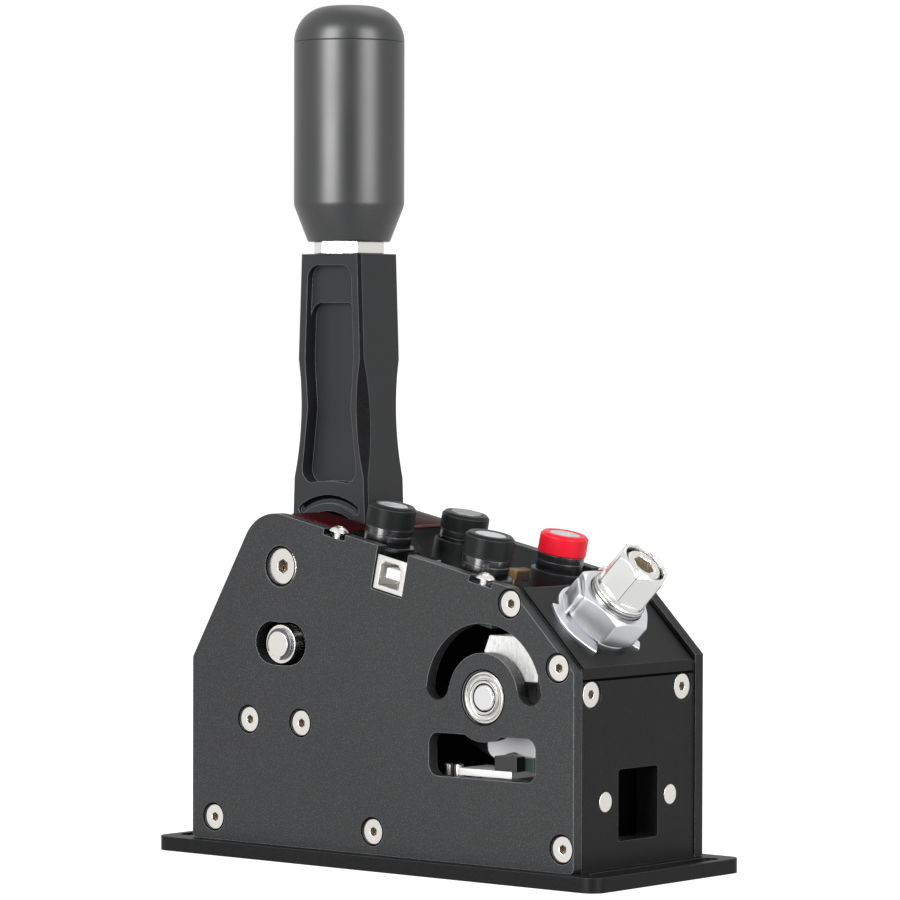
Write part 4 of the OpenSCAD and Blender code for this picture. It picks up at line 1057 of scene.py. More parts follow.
@dataclass
class BoardParts:
    """Chips with their legs, a header with its pins, and the amber part on the control board."""

    board_n: float = -13.2
    chips: tuple[tuple[float, float, float, float, float], ...] = (
        (-2.0, -14.0, 9.0, 9.0, 1.4), (6.5, -31.0, 6.0, 5.0, 1.2), (-4.5, -37.0, 4.0, 5.0, 1.0),
        (2.0, 2.0, 7.0, 4.0, 1.2), (17.0, -12.0, 6.0, 7.0, 1.5))
    chip_gap: float = 0.15
    small_round: float = 0.12
    leg: tuple[float, float, float] = (1.1, 0.45, 0.3)
    leg_out: float = 0.4
    leg_n: float = 0.2
    leg_pitch: float = 1.3
    leg_margin: float = 0.9
    pins: int = 8
    pin_pitch: float = 2.54
    pin: tuple[float, float, float] = (0.6, 0.6, 5.6)
    header_y: float = -22.5
    header_wide: float = 2.5
    header_n: float = 1.3
    pin_n: float = 3.0
    amber: tuple[float, float, float] = (8.6, 4.2, 3.4)
    amber_at: tuple[float, float, float] = (18.0, -17.6, 6.3)

    def build(self) -> None:
        """Set the parts out on the board and on its own slope."""
        self._chips()
        self._header()
        self._legs()
        amber = Piece("board_amber", "housing", EXTRA["amber"], "circuit_board")
        amber.block(self.amber, self._place(*self.amber_at), 0.4)
        amber.done()

    def _place(self, x: float, y: float, n: float) -> Matrix:
        """Frame at a height n above the board."""
        return LAYOUT.on_slope(x, y, self.board_n + n)

    def _chips(self) -> None:
        """Set the chips on the board."""
        piece = Piece("board_chips", "housing", FINISHES["black_plastic"], "black_plastic")
        for x, y, wide, long, tall in self.chips:
            piece.block((wide, long, tall), self._place(x, y, tall / 2 + self.chip_gap), self.small_round)
        piece.done()

    def _header(self) -> None:
        """Set the header on the board, and its pins in it."""
        header = Piece("board_header", "housing", FINISHES["cap_black"], "black_plastic")
        header.block((self.pin_pitch * self.pins, self.header_wide, self.header_wide),
                     self._place(0, self.header_y, self.header_n), 0.15)
        header.done()
        pins = Piece("board_pins", "housing", EXTRA["gold_pins"], "connector")
        for k in range(self.pins):
            x = self.pin_pitch * (k - (self.pins - 1) / 2)
            pins.block(self.pin, self._place(x, self.header_y, self.pin_n), self.small_round, 1)
        pins.done()

    def _legs(self) -> None:
        """Set a row of legs on each long side of every chip."""
        piece = Piece("board_legs", "housing", FINISHES["connector"], "connector")
        for x, y, wide, long, _ in self.chips:
            for side in Side:
                out = x + side.value * (wide / 2 + self.leg_out)
                for k in range(int(long // self.leg_pitch)):
                    at = y - long / 2 + self.leg_margin + self.leg_pitch * k
                    piece.block(self.leg, self._place(out, at, self.leg_n), self.small_round / 2, 1)
        piece.done()


@dataclass
class SensorParts:
    """Small parts beside the sensor's shelf that show through the lower window."""

    can_r: float = 1.5
    can_h: float = 5.2
    cans: tuple[float, float] = (2.6, 6.8)
    can_in: float = 3.2
    can_foot: float = -4.4
    can_crease: tuple[float, float, float] = (0.9, 1.1, 1.3)
    crease_depth: float = 0.15
    can_bevel: float = 0.25
    carrier: tuple[float, float, float] = (7.5, 15.0, 1.4)
    carrier_at: tuple[float, float, float] = (4.6, 7.4, -5.1)
    strip: tuple[float, float, float] = (0.8, 7.0, 0.8)
    strip_at: tuple[float, float, float] = (1.8, 10.4, -3.6)

    def build(self) -> None:
        """Stand two small cans and a strip of pads on a carrier behind the shelf."""
        low, high = LAYOUT.span("sensor_bracket")
        corner = Vector((low.x, high.y, high.z))
        r, h = self.can_r, self.can_h
        low_edge, crease, high_edge = self.can_crease
        can = [(0.0, 0.0), (r, 0.0), (r, low_edge), (r - self.crease_depth, crease), (r, high_edge),
               (r, h - self.can_bevel), (r - self.can_bevel, h), (0.0, h)]
        cans = Piece("sensor_cans", "housing", FINISHES["connector"], "connector", 30.0)
        for y in self.cans:
            cans.lathe(can, Matrix.Translation(corner + Vector((self.can_in, y, self.can_foot))), 40)
        cans.done()
        carrier = Piece("sensor_carrier", "housing", FINISHES["circuit_board"], "circuit_board")
        carrier.block(self.carrier, Matrix.Translation(corner + Vector(self.carrier_at)), 0.15)
        carrier.done()
        strip = Piece("sensor_strip", "housing", EXTRA["gold_pins"], "connector")
        strip.block(self.strip, Matrix.Translation(corner + Vector(self.strip_at)), 0.15)
        strip.done()


@dataclass(frozen=True)
class HexShape:
    """A hexagon with rounded corners and chamfered ends, like a turned bar with six milled flats."""

    across: float
    corner: float
    face: float
    cone: float
    turn: float

    def radius(self, angle: float) -> float:
        """Distance from the axis to the side at an angle in degrees."""
        off = (angle - self.turn) % 60 - 30
        return min(self.across / 2 / math.cos(math.radians(off)), self.corner)

    def side(self, height: float, lean: float) -> Section:
        """Ring where flats and chamfer of an end meet; lean is -1 at a top end, 1 at a foot, 0 for none."""
        return lambda angle: (self.radius(angle),
                              height + lean * self.cone * max(0.0, self.radius(angle) - self.face))


def circle(radius: float, height: float) -> Section:
    """A plain ring of a body made from rings."""
    return lambda angle: (radius, height)


@dataclass
class Adjuster:
    """The barrel with its thread and hexagon, its locknut, tab washer and preload screw.

    Heights are distances out from the cam shaft's axis.
    """

    inner: float = 24.9
    wall: float = 27.9
    face: float = 31.5
    stem_r: float = 8.0
    thread_r: float = 8.85
    neck_r: float = 8.35
    collar: float = 45.4
    hex_start: float = 46.4
    end: float = 58.0
    rod_r: float = 3.05
    seat_r: float = 5.05
    seat_end: float = 44.4
    bore_r: float = 6.1
    mouth: tuple[float, float, float] = (6.95, 6.8, 6.7)
    mouth_depth: float = 1.7
    mouth_lip: float = 0.3
    run_in: tuple[float, float] = (0.2, 0.4)
    run_out: tuple[float, float] = (1.0, 0.5)
    seat_bevel: float = 0.2
    grooves: tuple[float, ...] = (1.1, 2.0, 2.9)
    groove_r: tuple[float, float] = (8.75, 8.88)
    groove_tall: float = 0.3
    line_wide: float = 0.2
    line_in: float = 0.07
    line_ends: tuple[float, float] = (0.2, 1.0)
    nut_h: float = 9.8
    nut_bevel: float = 0.5
    clear: float = 0.05
    washer: float = 1.2
    washer_bevel: float = 0.2
    lobes: tuple[tuple[float, float, float], ...] = ((150.1, 227, 16.9), (227, 306, 11.3), (306, 322, 15.4))
    washer_r: float = 14.2
    tabs: tuple[tuple[float, float, float], ...] = ((144.0, 8.4, 8.2), (84.0, 7.0, 5.6))
    tab_thick: float = 1.1
    tab_gap: float = 0.15
    tab_sunk: float = 0.3
    screw_low: float = 49.0
    screw_top: float = 57.5
    screw_r: tuple[float, float, float, float] = (6.0, 5.75, 5.4, 3.95)
    screw_bevel: float = 0.3
    screw_groove: tuple[float, float, float] = (1.6, 1.5, 0.4)
    key_lead: float = 0.35
    key_depth: float = 4.6
    key_point: float = 0.8
    key_shade: tuple[float, float] = (1.4, 1.6)
    barrel_hex: HexShape = HexShape(15.4, 8.85, 7.45, 1.1, 32.0)
    nut_hex: HexShape = HexShape(22.6, 12.9, 11.1, 0.62, 51.0)
    key_hex: HexShape = HexShape(6.3, 3.64, 9.0, 0.0, 10.0)

    def build(self) -> None:
        """Build the four parts round the axis of the plain ones and replace them."""
        place = LAYOUT.on_nose(LAYOUT.middle("preload_screw").x, 0, 0)
        for make in (self._barrel, self._lines, self._nut, self._washer, self._screw):
            make(place)

    def _barrel(self, place: Matrix) -> None:
        """Turn the barrel, threaded from the nose block on, with its hexagon at the end.

        Args:
            place: frame of the adjuster's axis.
        """
        shape, top = self.barrel_hex, self.end
        rim, lip, floor = self.mouth
        mouth_end = top - self.mouth_depth
        piece = Piece("adjuster_barrel", "housing", SPECIAL["barrel"], "zinc_steel", 26.0)
        piece.rings([circle(self.rod_r, self.inner), circle(self.stem_r, self.inner),
                     circle(self.stem_r, self.face + self.run_in[0]),
                     circle(self.thread_r, self.face + self.run_in[1]),
                     circle(self.thread_r, self.collar - self.run_out[0]),
                     circle(self.neck_r, self.collar - self.run_out[1]),
                     circle(self.neck_r, self.hex_start), shape.side(self.hex_start + POINT, 0),
                     shape.side(top, -1), circle(shape.face, top), circle(rim, top),
                     circle(lip, top - self.mouth_lip), circle(floor, mouth_end),
                     circle(self.bore_r, mouth_end - self.clear),
                     circle(self.bore_r, self.seat_end + self.seat_bevel), circle(self.seat_r, self.seat_end),
                     circle(self.seat_r, self.wall), circle(self.rod_r, self.wall)], place)
        piece.done("barrel")

    def _lines(self, place: Matrix) -> None:
        """Lay painted shade: grey lines on the hexagon's corners and in the thread, and a black ring in the
        barrel's mouth.

        Args:
            place: frame of the adjuster's axis.
        """
        lines = Piece("adjuster_shade_lines", "housing", EXTRA["painted_shade_grey"], "zinc_steel")
        low, high = self.hex_start + self.line_ends[0], self.end - self.line_ends[1]
        corner = (self.barrel_hex.corner - self.line_in, 0, (low + high) / 2)
        for k in range(6):
            turn = Matrix.Rotation(math.radians(self.barrel_hex.turn + 60 * k), 4, "Z")
            lines.block((self.line_wide, self.line_wide, high - low),
                        place @ turn @ Matrix.Translation(corner), self.line_wide / 4, 1)
        for height in self.grooves:
            self._ring(lines, place, self.groove_r, self.collar - height, self.groove_tall)
        lines.done()
        gap = Piece("adjuster_mouth_shade", "housing", EXTRA["painted_shade_and_card_black"], "zinc_steel")
        self._ring(gap, place, (self.bore_r + LIFT, self.mouth[2] - LIFT),
                   self.end - self.mouth_depth + 2 * LIFT, FILM)
        gap.done()

    @staticmethod
    def _ring(piece: Piece, place: Matrix, radii: tuple[float, float], height: float, tall: float) -> None:
        """Add a flat ring round the adjuster's axis.

        Args:
            piece: the mesh that takes the ring.
            place: frame of the adjuster's axis.
            radii: inner and outer radius.
            height: height of the ring's foot.
            tall: height of the ring itself.
        """
        inner, outer = radii
        top = height + tall
        piece.lathe([(inner, height), (outer, height), (outer, top), (inner, top)], place, 72)

    def _nut(self, place: Matrix) -> None:
        """Build the locknut, chamfered at both ends.

        Args:
            place: frame of the adjuster's axis.
        """
        shape, bore = self.nut_hex, self.thread_r + self.clear
        low = self.face + self.washer
        high = low + self.nut_h
        piece = Piece("adjuster_nut", "housing", SPECIAL["locknut"], "zinc_steel", 26.0)
        piece.rings([circle(bore, low), circle(shape.face, low), shape.side(low, 1), shape.side(high, -1),
                     circle(shape.face, high), circle(self.thread_r + self.nut_bevel, high),
                     circle(bore, high - self.nut_bevel)], place, 120)
        piece.done("locknut")

    def _washer(self, place: Matrix) -> None:
        """Build the washer with its broad lobe, and two tabs bent up against the nut.

        Args:
            place: frame of the adjuster's axis.
        """
        low, high = self.face, self.face + self.washer
        bore = self.thread_r + self.clear
        piece = Piece("adjuster_washer", "housing", FINISHES["zinc_steel"], "zinc_steel", 26.0)
        piece.rings([circle(bore, low), self._rim(0.0, low), self._rim(0.0, high - self.washer_bevel),
                     self._rim(self.washer_bevel, high), circle(bore, high)], place, 180)
        for turn, wide, tall in self.tabs:
            out = (self.nut_hex.across / 2 + self.tab_gap + self.tab_thick / 2, 0,
                   high + tall / 2 - self.tab_sunk)
            piece.block((self.tab_thick, wide, tall), place @ Matrix.Rotation(math.radians(turn), 4, "Z")
                        @ Matrix.Translation(out), 0.25)
        piece.done("tab_washer")

    def _rim(self, shrink: float, height: float) -> Section:
        """Outer ring of the washer.

        Args:
            shrink: how far the ring stays inside the washer's outline.
            height: the ring's height.

        Returns:
            The ring's radius and height round the turn.
        """
        def at(angle: float) -> tuple[float, float]:
            """Reach of the lobe at an angle, or of the plain washer."""
            reaches = (reach for start, end, reach in self.lobes if start <= angle < end)
            return next(reaches, self.washer_r) - shrink, height
        return at

    def _screw(self, place: Matrix) -> None:
        """Turn the preload screw with its hexagon socket.

        Args:
            place: frame of the adjuster's axis.
        """
        key, top = self.key_hex, self.screw_top
        body, groove, edge, bevel = self.screw_r
        low_edge, groove_low, groove_high = (top - depth for depth in self.screw_groove)
        piece = Piece("adjuster_screw", "screw", SPECIAL["preload_screw"], "stainless", 26.0)
        piece.rings([circle(POINT, self.screw_low), circle(body - self.screw_bevel, self.screw_low),
                     circle(body, self.screw_low + self.screw_bevel), circle(body, low_edge),
                     circle(groove, groove_low), circle(groove, groove_high), circle(edge, top),
                     circle(bevel, top), key.side(top - self.key_lead, 0),
                     key.side(top - self.key_depth, 0),
                     circle(POINT, top - self.key_depth - self.key_point)], place, 72)
        piece.done("preload_screw")
        # Painted shade on the floor of the screw's socket.
        shade = Piece("adjuster_socket_shade", "screw", EXTRA["socket_painted_shade"], "stainless", 26.0)
        high, low = (top - depth for depth in self.key_shade)
        shade.rings([circle(POINT, high), key.side(high, 0), key.side(low, 0), circle(POINT, low)], place, 72)
        shade.done()


@dataclass(frozen=True)
class LeverLevel:
    """Half depth and chamfer of the lever at a height above its pivot, plain and real."""

    height: float
    plain: float
    plain_cut: float
    real: float


@dataclass
class LeverBody:
    """The lever with straight flanks and, between hip and foot, a scooped lens on each long edge, painted
    dark as shade.
    """

    half_w: float = 9.0
    real_half_w: float = 9.4
    cut: float = 1.0
    lens_cut: float = 3.15
    slices: int = 28
    near: float = 0.04
    inside: float = 4.0
    chamfer_turn: float = 0.42
    chamfer_rise: float = 0.4
    levels: tuple[LeverLevel, ...] = (
        LeverLevel(98.0, 13.1, 1.5, 12.5), LeverLevel(64.7, 14.4, 1.5, 13.75),
        LeverLevel(49.2, 13.2, 3.4, 14.45), LeverLevel(27.2, 16.0, 1.5, 15.45),
        LeverLevel(9.2, 16.4, 1.5, 16.1))

    def build(self) -> None:
        """Slice a copy of the plain lever and set its outer points out on the real outline."""
        low = LAYOUT.middle("pivot_shaft")
        piece = Piece("lever_body", "lever", FINISHES["lever_anodised"], "lever_anodised", 24.0)
        piece.copy_of("lever")
        hip, foot, end = (self.levels[k].height for k in (1, 3, 4))
        cuts = [foot + (hip - foot) * k / self.slices for k in range(self.slices + 1)]
        for height in cuts + [end]:
            piece.cut(Vector((0, 0, low.z + height)), UPRIGHT)
        for vert in piece.bm.verts:
            height = vert.co.z - low.z
            if height >= end - WELD:
                self._move(vert, height, low.y)
        self._paint_chamfer_shade(piece.done("lever"))

    def _paint_chamfer_shade(self, lever: bpy.types.Object) -> None:
        """Give the chamfers and the lenses a darker finish, as painted shade.

        Args:
            lever: the finished piece.
        """
        lever.data.materials.append(PALETTE.get(EXTRA["chamfer_painted_shade"]))
        for face in lever.data.polygons:
            across, along, up = (abs(v) for v in face.normal)
            on_edge = abs(face.center.x) / MM > self.half_w - self.lens_cut
            if abs(across - along) < self.chamfer_turn and up < self.chamfer_rise and on_edge:
                face.material_index = 1

    def _at(self, height: float, name: str) -> float:
        """Value at a height, between the two levels round it.

        Args:
            height: height above the pivot.
            name: field of the levels.

        Returns:
            The value.
        """
        for upper, lower in zip(self.levels, self.levels[1:]):
            if height >= lower.height - WELD:
                share = min(1.0, (height - lower.height) / (upper.height - lower.height))
                return getattr(lower, name) + share * (getattr(upper, name) - getattr(lower, name))
        return getattr(self.levels[-1], name)

    def _move(self, vert: bmesh.types.BMVert, height: float, pivot_y: float) -> None:
        """Move one point of the outer surface from the plain outline to the real one.

        Args:
            vert: the point.
            height: its height above the pivot.
            pivot_y: the pivot's place along the unit.
        """
        hip, foot = self.levels[1].height, self.levels[3].height
        x, y = abs(vert.co.x), abs(vert.co.y - pivot_y)
        side_x, side_y = math.copysign(1, vert.co.x), math.copysign(1, vert.co.y - pivot_y)
        depth, cut = self._at(height, "plain"), self._at(height, "plain_cut")
        real = self._at(height, "real")
        mid, half = (hip + foot) / 2, (hip - foot) / 2
        bow = max(0.0, 1 - ((height - mid) / half) ** 2)
        new_cut = self.cut + (self.lens_cut - self.cut) * bow
        if abs(x + y - (self.half_w + depth - cut)) < self.near:
            share = (self.half_w - x) / cut
            x, y = self.real_half_w - share * new_cut, real - (1 - share) * new_cut
        elif y > depth - self.near / 2:
            y = real
        elif x > self.inside:
            x += self.real_half_w - self.half_w
        vert.co.x, vert.co.y = side_x * x, pivot_y + side_y * y


@dataclass
class LeverGrooves:
    """Shade in the two arched grooves at the lever's foot."""

    radii: tuple[float, ...] = (20.5, 15.4)
    half: float = 1.35
    inner: float = 0.1
    floor: float = 8.3
    thick: float = 0.04
    ends: tuple[float, float] = (57.5, 122.5)

    def build(self) -> None:
        """Lay dark bands on the upper part of the grooves' floors, on both sides of the lever."""
        pivot = LAYOUT.middle("pivot_shaft")
        centre, (start, end) = (pivot.y, pivot.z), self.ends
        piece = Piece("lever_groove_shade", "lever", EXTRA["painted_shade_and_card_black"], "lever_anodised")
        for side in Side:
            low = side.value * (self.floor + LIFT / 2) - self.thick / 2
            for radius in self.radii:
                outer = arc_points(centre, radius + self.half - LIFT, start, end, 24)
                inner = arc_points(centre, radius + self.inner, end, start, 24)
                piece.prism(outer + inner, self.thick, Matrix.Translation((low, 0, 0)) @ YZ_TO_UNIT)
        piece.done()


@dataclass
class WindowFillers:
    """The lower ends of the arc windows' arms, closed where the real windows end."""

    reach: float = 17.95
    half: float = 4.45
    overlap: float = 0.6
    raised: float = 3.0
    proud: float = 0.03

    def build(self) -> None:
        """Fill both arms' ends on both plates, in the plates' finish."""
        low, high = LAYOUT.span("side_plate_right")
        cam = LAYOUT.middle("cam_shaft")
        wide = self.half + self.overlap
        piece = Piece("arm_fillers", "housing", EXTRA["arm_filler"], "plate_anodised")
        for side in Side:
            start = low.x if side is Side.RIGHT else -high.x - self.proud
            for way in (-1, 1):
                middle, top = cam.y + way * self.reach, cam.z + self.raised
                outline = (arc_points((middle, cam.z), wide, 180, 360, 24) + [(middle + wide, top)]
                           + arc_points((middle, top), self.half, 360, 180, 24) + [(middle - wide, top)])
                piece.prism(outline, high.x - low.x + self.proud,
                            Matrix.Translation((start, 0, 0)) @ YZ_TO_UNIT)
        piece.done()


@dataclass
class WindowStrip:
    """The light speckled strip of the block behind the front window."""

    port_half: float = 9.8
    wide: float = 2.8
    thick: float = 0.12
    short: float = 0.4
    sight: float = 1.2

    def build(self) -> None:
        """Lay the strip on the block's front, where the line of sight past the window's edge meets it."""
        low, high = LAYOUT.span("port_block")
        gap = max(0.0, low.y - LAYOUT.span("front_panel")[1].y)
        left = max(low.x, self.sight * gap - self.port_half)
        piece = Piece("window_strip", "housing", EXTRA["speckled"], "black_plastic")
        middle = (left + self.wide / 2, low.y - 2 * LIFT, (low.z + high.z) / 2)
        piece.block((self.wide, self.thick, high.z - low.z - self.short), Matrix.Translation(middle), LIFT, 1)
        piece.done()


class PreloadSpring:
    """The preload spring in two halves, which ride no body and stay where they are."""

    def build(self) -> None:
        """Cut a copy of the plain spring in half, close each cut, and keep both halves where they are."""
        source = frame["nodes"]["preload_spring"]
        centre = LAYOUT.middle("preload_spring")
        reach = [(source.matrix_world @ v.co / MM - centre).dot(OUT_OF_NOSE) for v in source.data.vertices]
        low, high = (centre + end * OUT_OF_NOSE for end in (min(reach), max(reach)))
        middle = (low + high) / 2
        for name, body, end, inner in (("spring_inner", "plunger", low, True),
                                       ("spring_outer", "seat", high, False)):
            piece = Piece(name, "housing", FINISHES["zinc_steel"], "zinc_steel", 40.0)
            piece.copy_of("preload_spring")
            piece.cut(middle, OUT_OF_NOSE, clear_outer=inner, clear_inner=not inner)
            open_edges = [e for e in piece.bm.edges if e.is_boundary]
            bmesh.ops.holes_fill(piece.bm, edges=open_edges, sides=0)
            made = piece.done(*(("preload_spring",) if inner else ()), rides=False)
            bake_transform(made)


@dataclass
class LeverCollar:
    """The bright hexagon nut between lever and knob."""

    shape: HexShape = HexShape(20.4, 11.6, 10.1, 0.04, -8.0)
    height: float = 3.75
    bore: float = 6.1

    def build(self) -> None:
        """Build the nut with chamfered ends on the lever's top and replace the plain one."""
        low, high = LAYOUT.span("jam_nut")
        middle = (low + high) / 2
        shape, top = self.shape, self.height
        piece = Piece("lever_collar", "lever", SPECIAL["jam_nut"], "stainless", 24.0)
        piece.rings([circle(self.bore, 0), circle(shape.face, 0), shape.side(0, 1), shape.side(top, -1),
                     circle(shape.face, top), circle(self.bore, top)],
                    Matrix.Translation((middle.x, middle.y, low.z)), 120)
        piece.done("jam_nut")


@dataclass
class CapSkirts:
    """Glossy black sleeves under the caps, each with a fine seam."""

    radius: float = 7.33
    inner: float = 7.1
    low: float = -2.6
    seam_at: float = 2.3
    seam: float = 0.12
    seam_depth: float = 0.1
    under: float = 0.05

    def build(self) -> None:
        """Turn one sleeve for each cap, from below the cover up to the cap."""
        for cap in CAPS:
            r, top, seam = self.radius, cap.sleeve - self.under, cap.sleeve - self.seam_at
            piece = Piece(f"cap_skirt_{cap.node}", f"button_{cap.node}", EXTRA["skirt_black"], cap.slot(),
                          30.0)
            piece.lathe([(self.inner, self.low), (r, self.low), (r, seam - self.seam),
                         (r - self.seam_depth, seam), (r, seam + self.seam), (r, top), (self.inner, top)],
                        LAYOUT.on_slope(cap.x, cap.y), 72)
            piece.done()


@dataclass
class ScrewSockets:
    """Painted shade, tinted brown as a painted reflection, on the floors of the countersunk screws' sockets.
    """

    small_r: float = 1.22
    small_depth: float = 1.75
    pivot_r: float = 1.95
    pivot_depth: float = 2.6
    head_r: float = 4.0
    apart: float = 9.0
    near_face: float = 0.01
    thick: float = 0.15

    def build(self) -> None:
        """Lay a small dark disc on the floor of every socket that shows on the two sides and the front."""
        piece = Piece("socket_floor_shade", "housing", EXTRA["socket_painted_shade"], "stainless", 30.0)
        out = LAYOUT.span("side_screws")[1].x
        far = LAYOUT.span("pivot_screws")[1].x
        pivot = LAYOUT.middle("pivot_shaft")
        for side in Side:
            for y, z in self.heads():
                self._disc(piece, LAYOUT.on_side(side, y, z, out - self.small_depth), self.small_r)
            self._disc(piece, LAYOUT.on_side(side, pivot.y, pivot.z, far - self.pivot_depth), self.pivot_r)
        low, high = LAYOUT.span("panel_screws")
        for x in (low.x + self.head_r, high.x - self.head_r):
            self._disc(piece, Matrix.Translation((x, low.y + self.small_depth, (low.z + high.z) / 2))
                       @ Matrix.Rotation(math.pi / 2, 4, "X"), self.small_r)
        piece.done()

    def _disc(self, piece: Piece, place: Matrix, radius: float) -> None:
        """Add one disc whose face looks out along Z."""
        piece.lathe([(0.0, -self.thick), (radius, -self.thick), (radius, 0.0), (0.0, 0.0)], place, 24)

    def heads(self) -> list[tuple[float, float]]:
        """Find the side screws from the points of their node on the right side's face.

        Returns:
            Y and Z of each screw's axis.
        """
        node = frame["nodes"]["side_screws"]
        points = [node.matrix_world @ v.co / MM for v in node.data.vertices]
        far = max(p.x for p in points)
        found: list[list[Vector]] = []
        for p in (p for p in points if p.x > far - self.near_face):
            near = next((group for group in found if (group[0] - p).length < self.apart), None)
            if near is None:
                found.append([p])
            else:
                near.append(p)
        return [tuple((min(p[axis] for p in group) + max(p[axis] for p in group)) / 2 for axis in (1, 2))
                for group in found]


@dataclass
class GapShade:
    """Painted shade: black lines round the sunk heads and the bearings, beside the nose block and under its
    lip.
    """

    head_r: float = 4.0
    pivot_r: float = 5.7
    bearing_r: float = 8.0
    inside: float = 0.08
    outside: float = 0.5
    # The rings' centres are shifted so that the painted shadow is wider on one side of each head.
    shift: tuple[float, float] = (0.12, 0.1)
    bearing_lines: tuple[tuple[float, float], ...] = ((5.18, 5.36), (6.92, 7.04))
    shaft_line: tuple[float, float] = (4.05, 4.42)
    groove: tuple[float, float, float] = (0.9, 33.0, 0.06)
    groove_in: float = 0.55
    groove_at: tuple[float, float] = (-0.9, 31.52)
    lip_short: float = 0.4
    lip_tall: float = 0.8
    lip_down: float = 0.1
    thick: float = 0.05

    def build(self) -> None:
        """Lay thin dark rings and strips just above the faces that they shade."""
        piece = Piece("gap_shade", "housing", EXTRA["painted_shade_and_card_black"], "panel_anodised", 30.0)
        face = LAYOUT.span("side_plate_right")[1].x + LIFT
        pivot, bearing = LAYOUT.middle("pivot_shaft"), LAYOUT.middle("bearing_outer_rings")
        rings = [(y, z, self.head_r) for y, z in ScrewSockets().heads()]
        rings += [(pivot.y, pivot.z, self.pivot_r), (bearing.y, bearing.z, self.bearing_r)]
        for side in Side:
            for y, z, r in rings:
                self._ring(piece, LAYOUT.on_side(side, y + self.shift[0], z + self.shift[1], face),
                           r + self.inside, r + self.outside)
            for line in self.bearing_lines:
                self._ring(piece, LAYOUT.on_side(side, bearing.y, bearing.z, face), *line)
            nose = LAYOUT.on_nose(side.value * (LAYOUT.span("side_plate_right")[0].x - self.groove_in),
                                  *self.groove_at)
            piece.block(self.groove, nose, LIFT, 1)
        low, high = LAYOUT.span("front_panel")
        under_lip = Matrix.Translation((0, low.y - LIFT / 2, high.z - self.lip_down))
        piece.block((high.x - low.x - self.lip_short, FILM, self.lip_tall), under_lip, LIFT, 1)
        piece.done()
        shaft = Piece("shaft_shade_rings", "cam", EXTRA["painted_shade_and_card_black"], "bearing_steel", 30.0)
        out = LAYOUT.span("bearing_outer_rings")[1].x + LIFT / 2
        for side in Side:
            self._ring(shaft, LAYOUT.on_side(side, bearing.y, bearing.z, out), *self.shaft_line)
        shaft.done()

    def _ring(self, piece: Piece, place: Matrix, inner: float, outer: float) -> None:
        """Add one flat ring."""
        piece.lathe([(inner, -self.thick), (outer, -self.thick), (outer, 0.0), (inner, 0.0)], place, 64)


@dataclass
class PlateEdge:
    """The right side plate's nose edge, which stands further out than the left one's."""

    outline: tuple[tuple[float, float], ...] = (
        (-77.03, 4.6), (-77.03, 66.6), (-55.8, 87.8), (-52.5, 88.5), (-76.6, 64.4), (-76.6, 4.6))

    def build(self) -> None:
        """Draw the edge's section out over the thickness of the plate."""
        low, high = LAYOUT.span("side_plate_right")
        piece = Piece("plate_edge_right", "housing", EXTRA["edge_anodised"], "plate_anodised")
        piece.prism(list(self.outline), high.x - low.x - LIFT, Matrix.Translation((low.x, 0, 0)) @ YZ_TO_UNIT)
        piece.done()


@dataclass
class SocketTongue:
    """The tongue inside the square connector, the shade on its shell, and the shell's upper corners."""

    y: float = -6.6
    board_n: float = -13.2
    wide: float = 12.0
    tall: float = 10.6
    long: float = 15.9
    face: float = -31.5
    corner: float = 2.35
    tongue: tuple[float, float, float] = (8.0, 5.6, 3.2)
    tongue_in: float = 5.4
    tongue_up: float = 0.2
    shade_in: float = 8.2
    shade_short: float = 0.3
    shade_thick: float = 0.1
    shade_up: float = 0.07

    def build(self) -> None:
        """Build the tongue, the shade and the two corners."""
        place = LAYOUT.on_slope(self.face, self.y, self.board_n)
        tongue = Piece("usb_tongue", "housing", EXTRA["tongue_white"], "connector")
        middle = Matrix.Translation((self.tongue_in, 0, self.tall / 2 + self.tongue_up))
        tongue.block(self.tongue, place @ middle, 0.3)
        tongue.done()
        shade = Piece("usb_shade", "housing", EXTRA["painted_shade_and_card_black"], "connector")
        shade.block((self.long - self.shade_short, self.wide, self.shade_thick),
                    place @ Matrix.Translation((self.shade_in, 0, self.tall + self.shade_up)), LIFT, 1)
        shade.done()
        corners = Piece("usb_corners", "housing", FINISHES["connector"], "connector")
        for side in Side:
            edge, in_y = side.value * self.wide / 2, side.value * (self.wide / 2 - self.corner)
            outline = [(edge, self.tall), (edge, self.tall - self.corner), (in_y, self.tall)]
            corners.prism(outline, self.long, place @ Matrix.Translation((LIFT, 0, 0)) @ YZ_TO_UNIT)
        corners.done()


@dataclass(frozen=True)
class Softbox:
    """One rectangular studio light: azimuth and elevation of its place, its size and its radiance."""

    name: str
    azimuth: float
    elevation: float
    wide: float
    tall: float
    radiance: float
    distance: float = 1.7


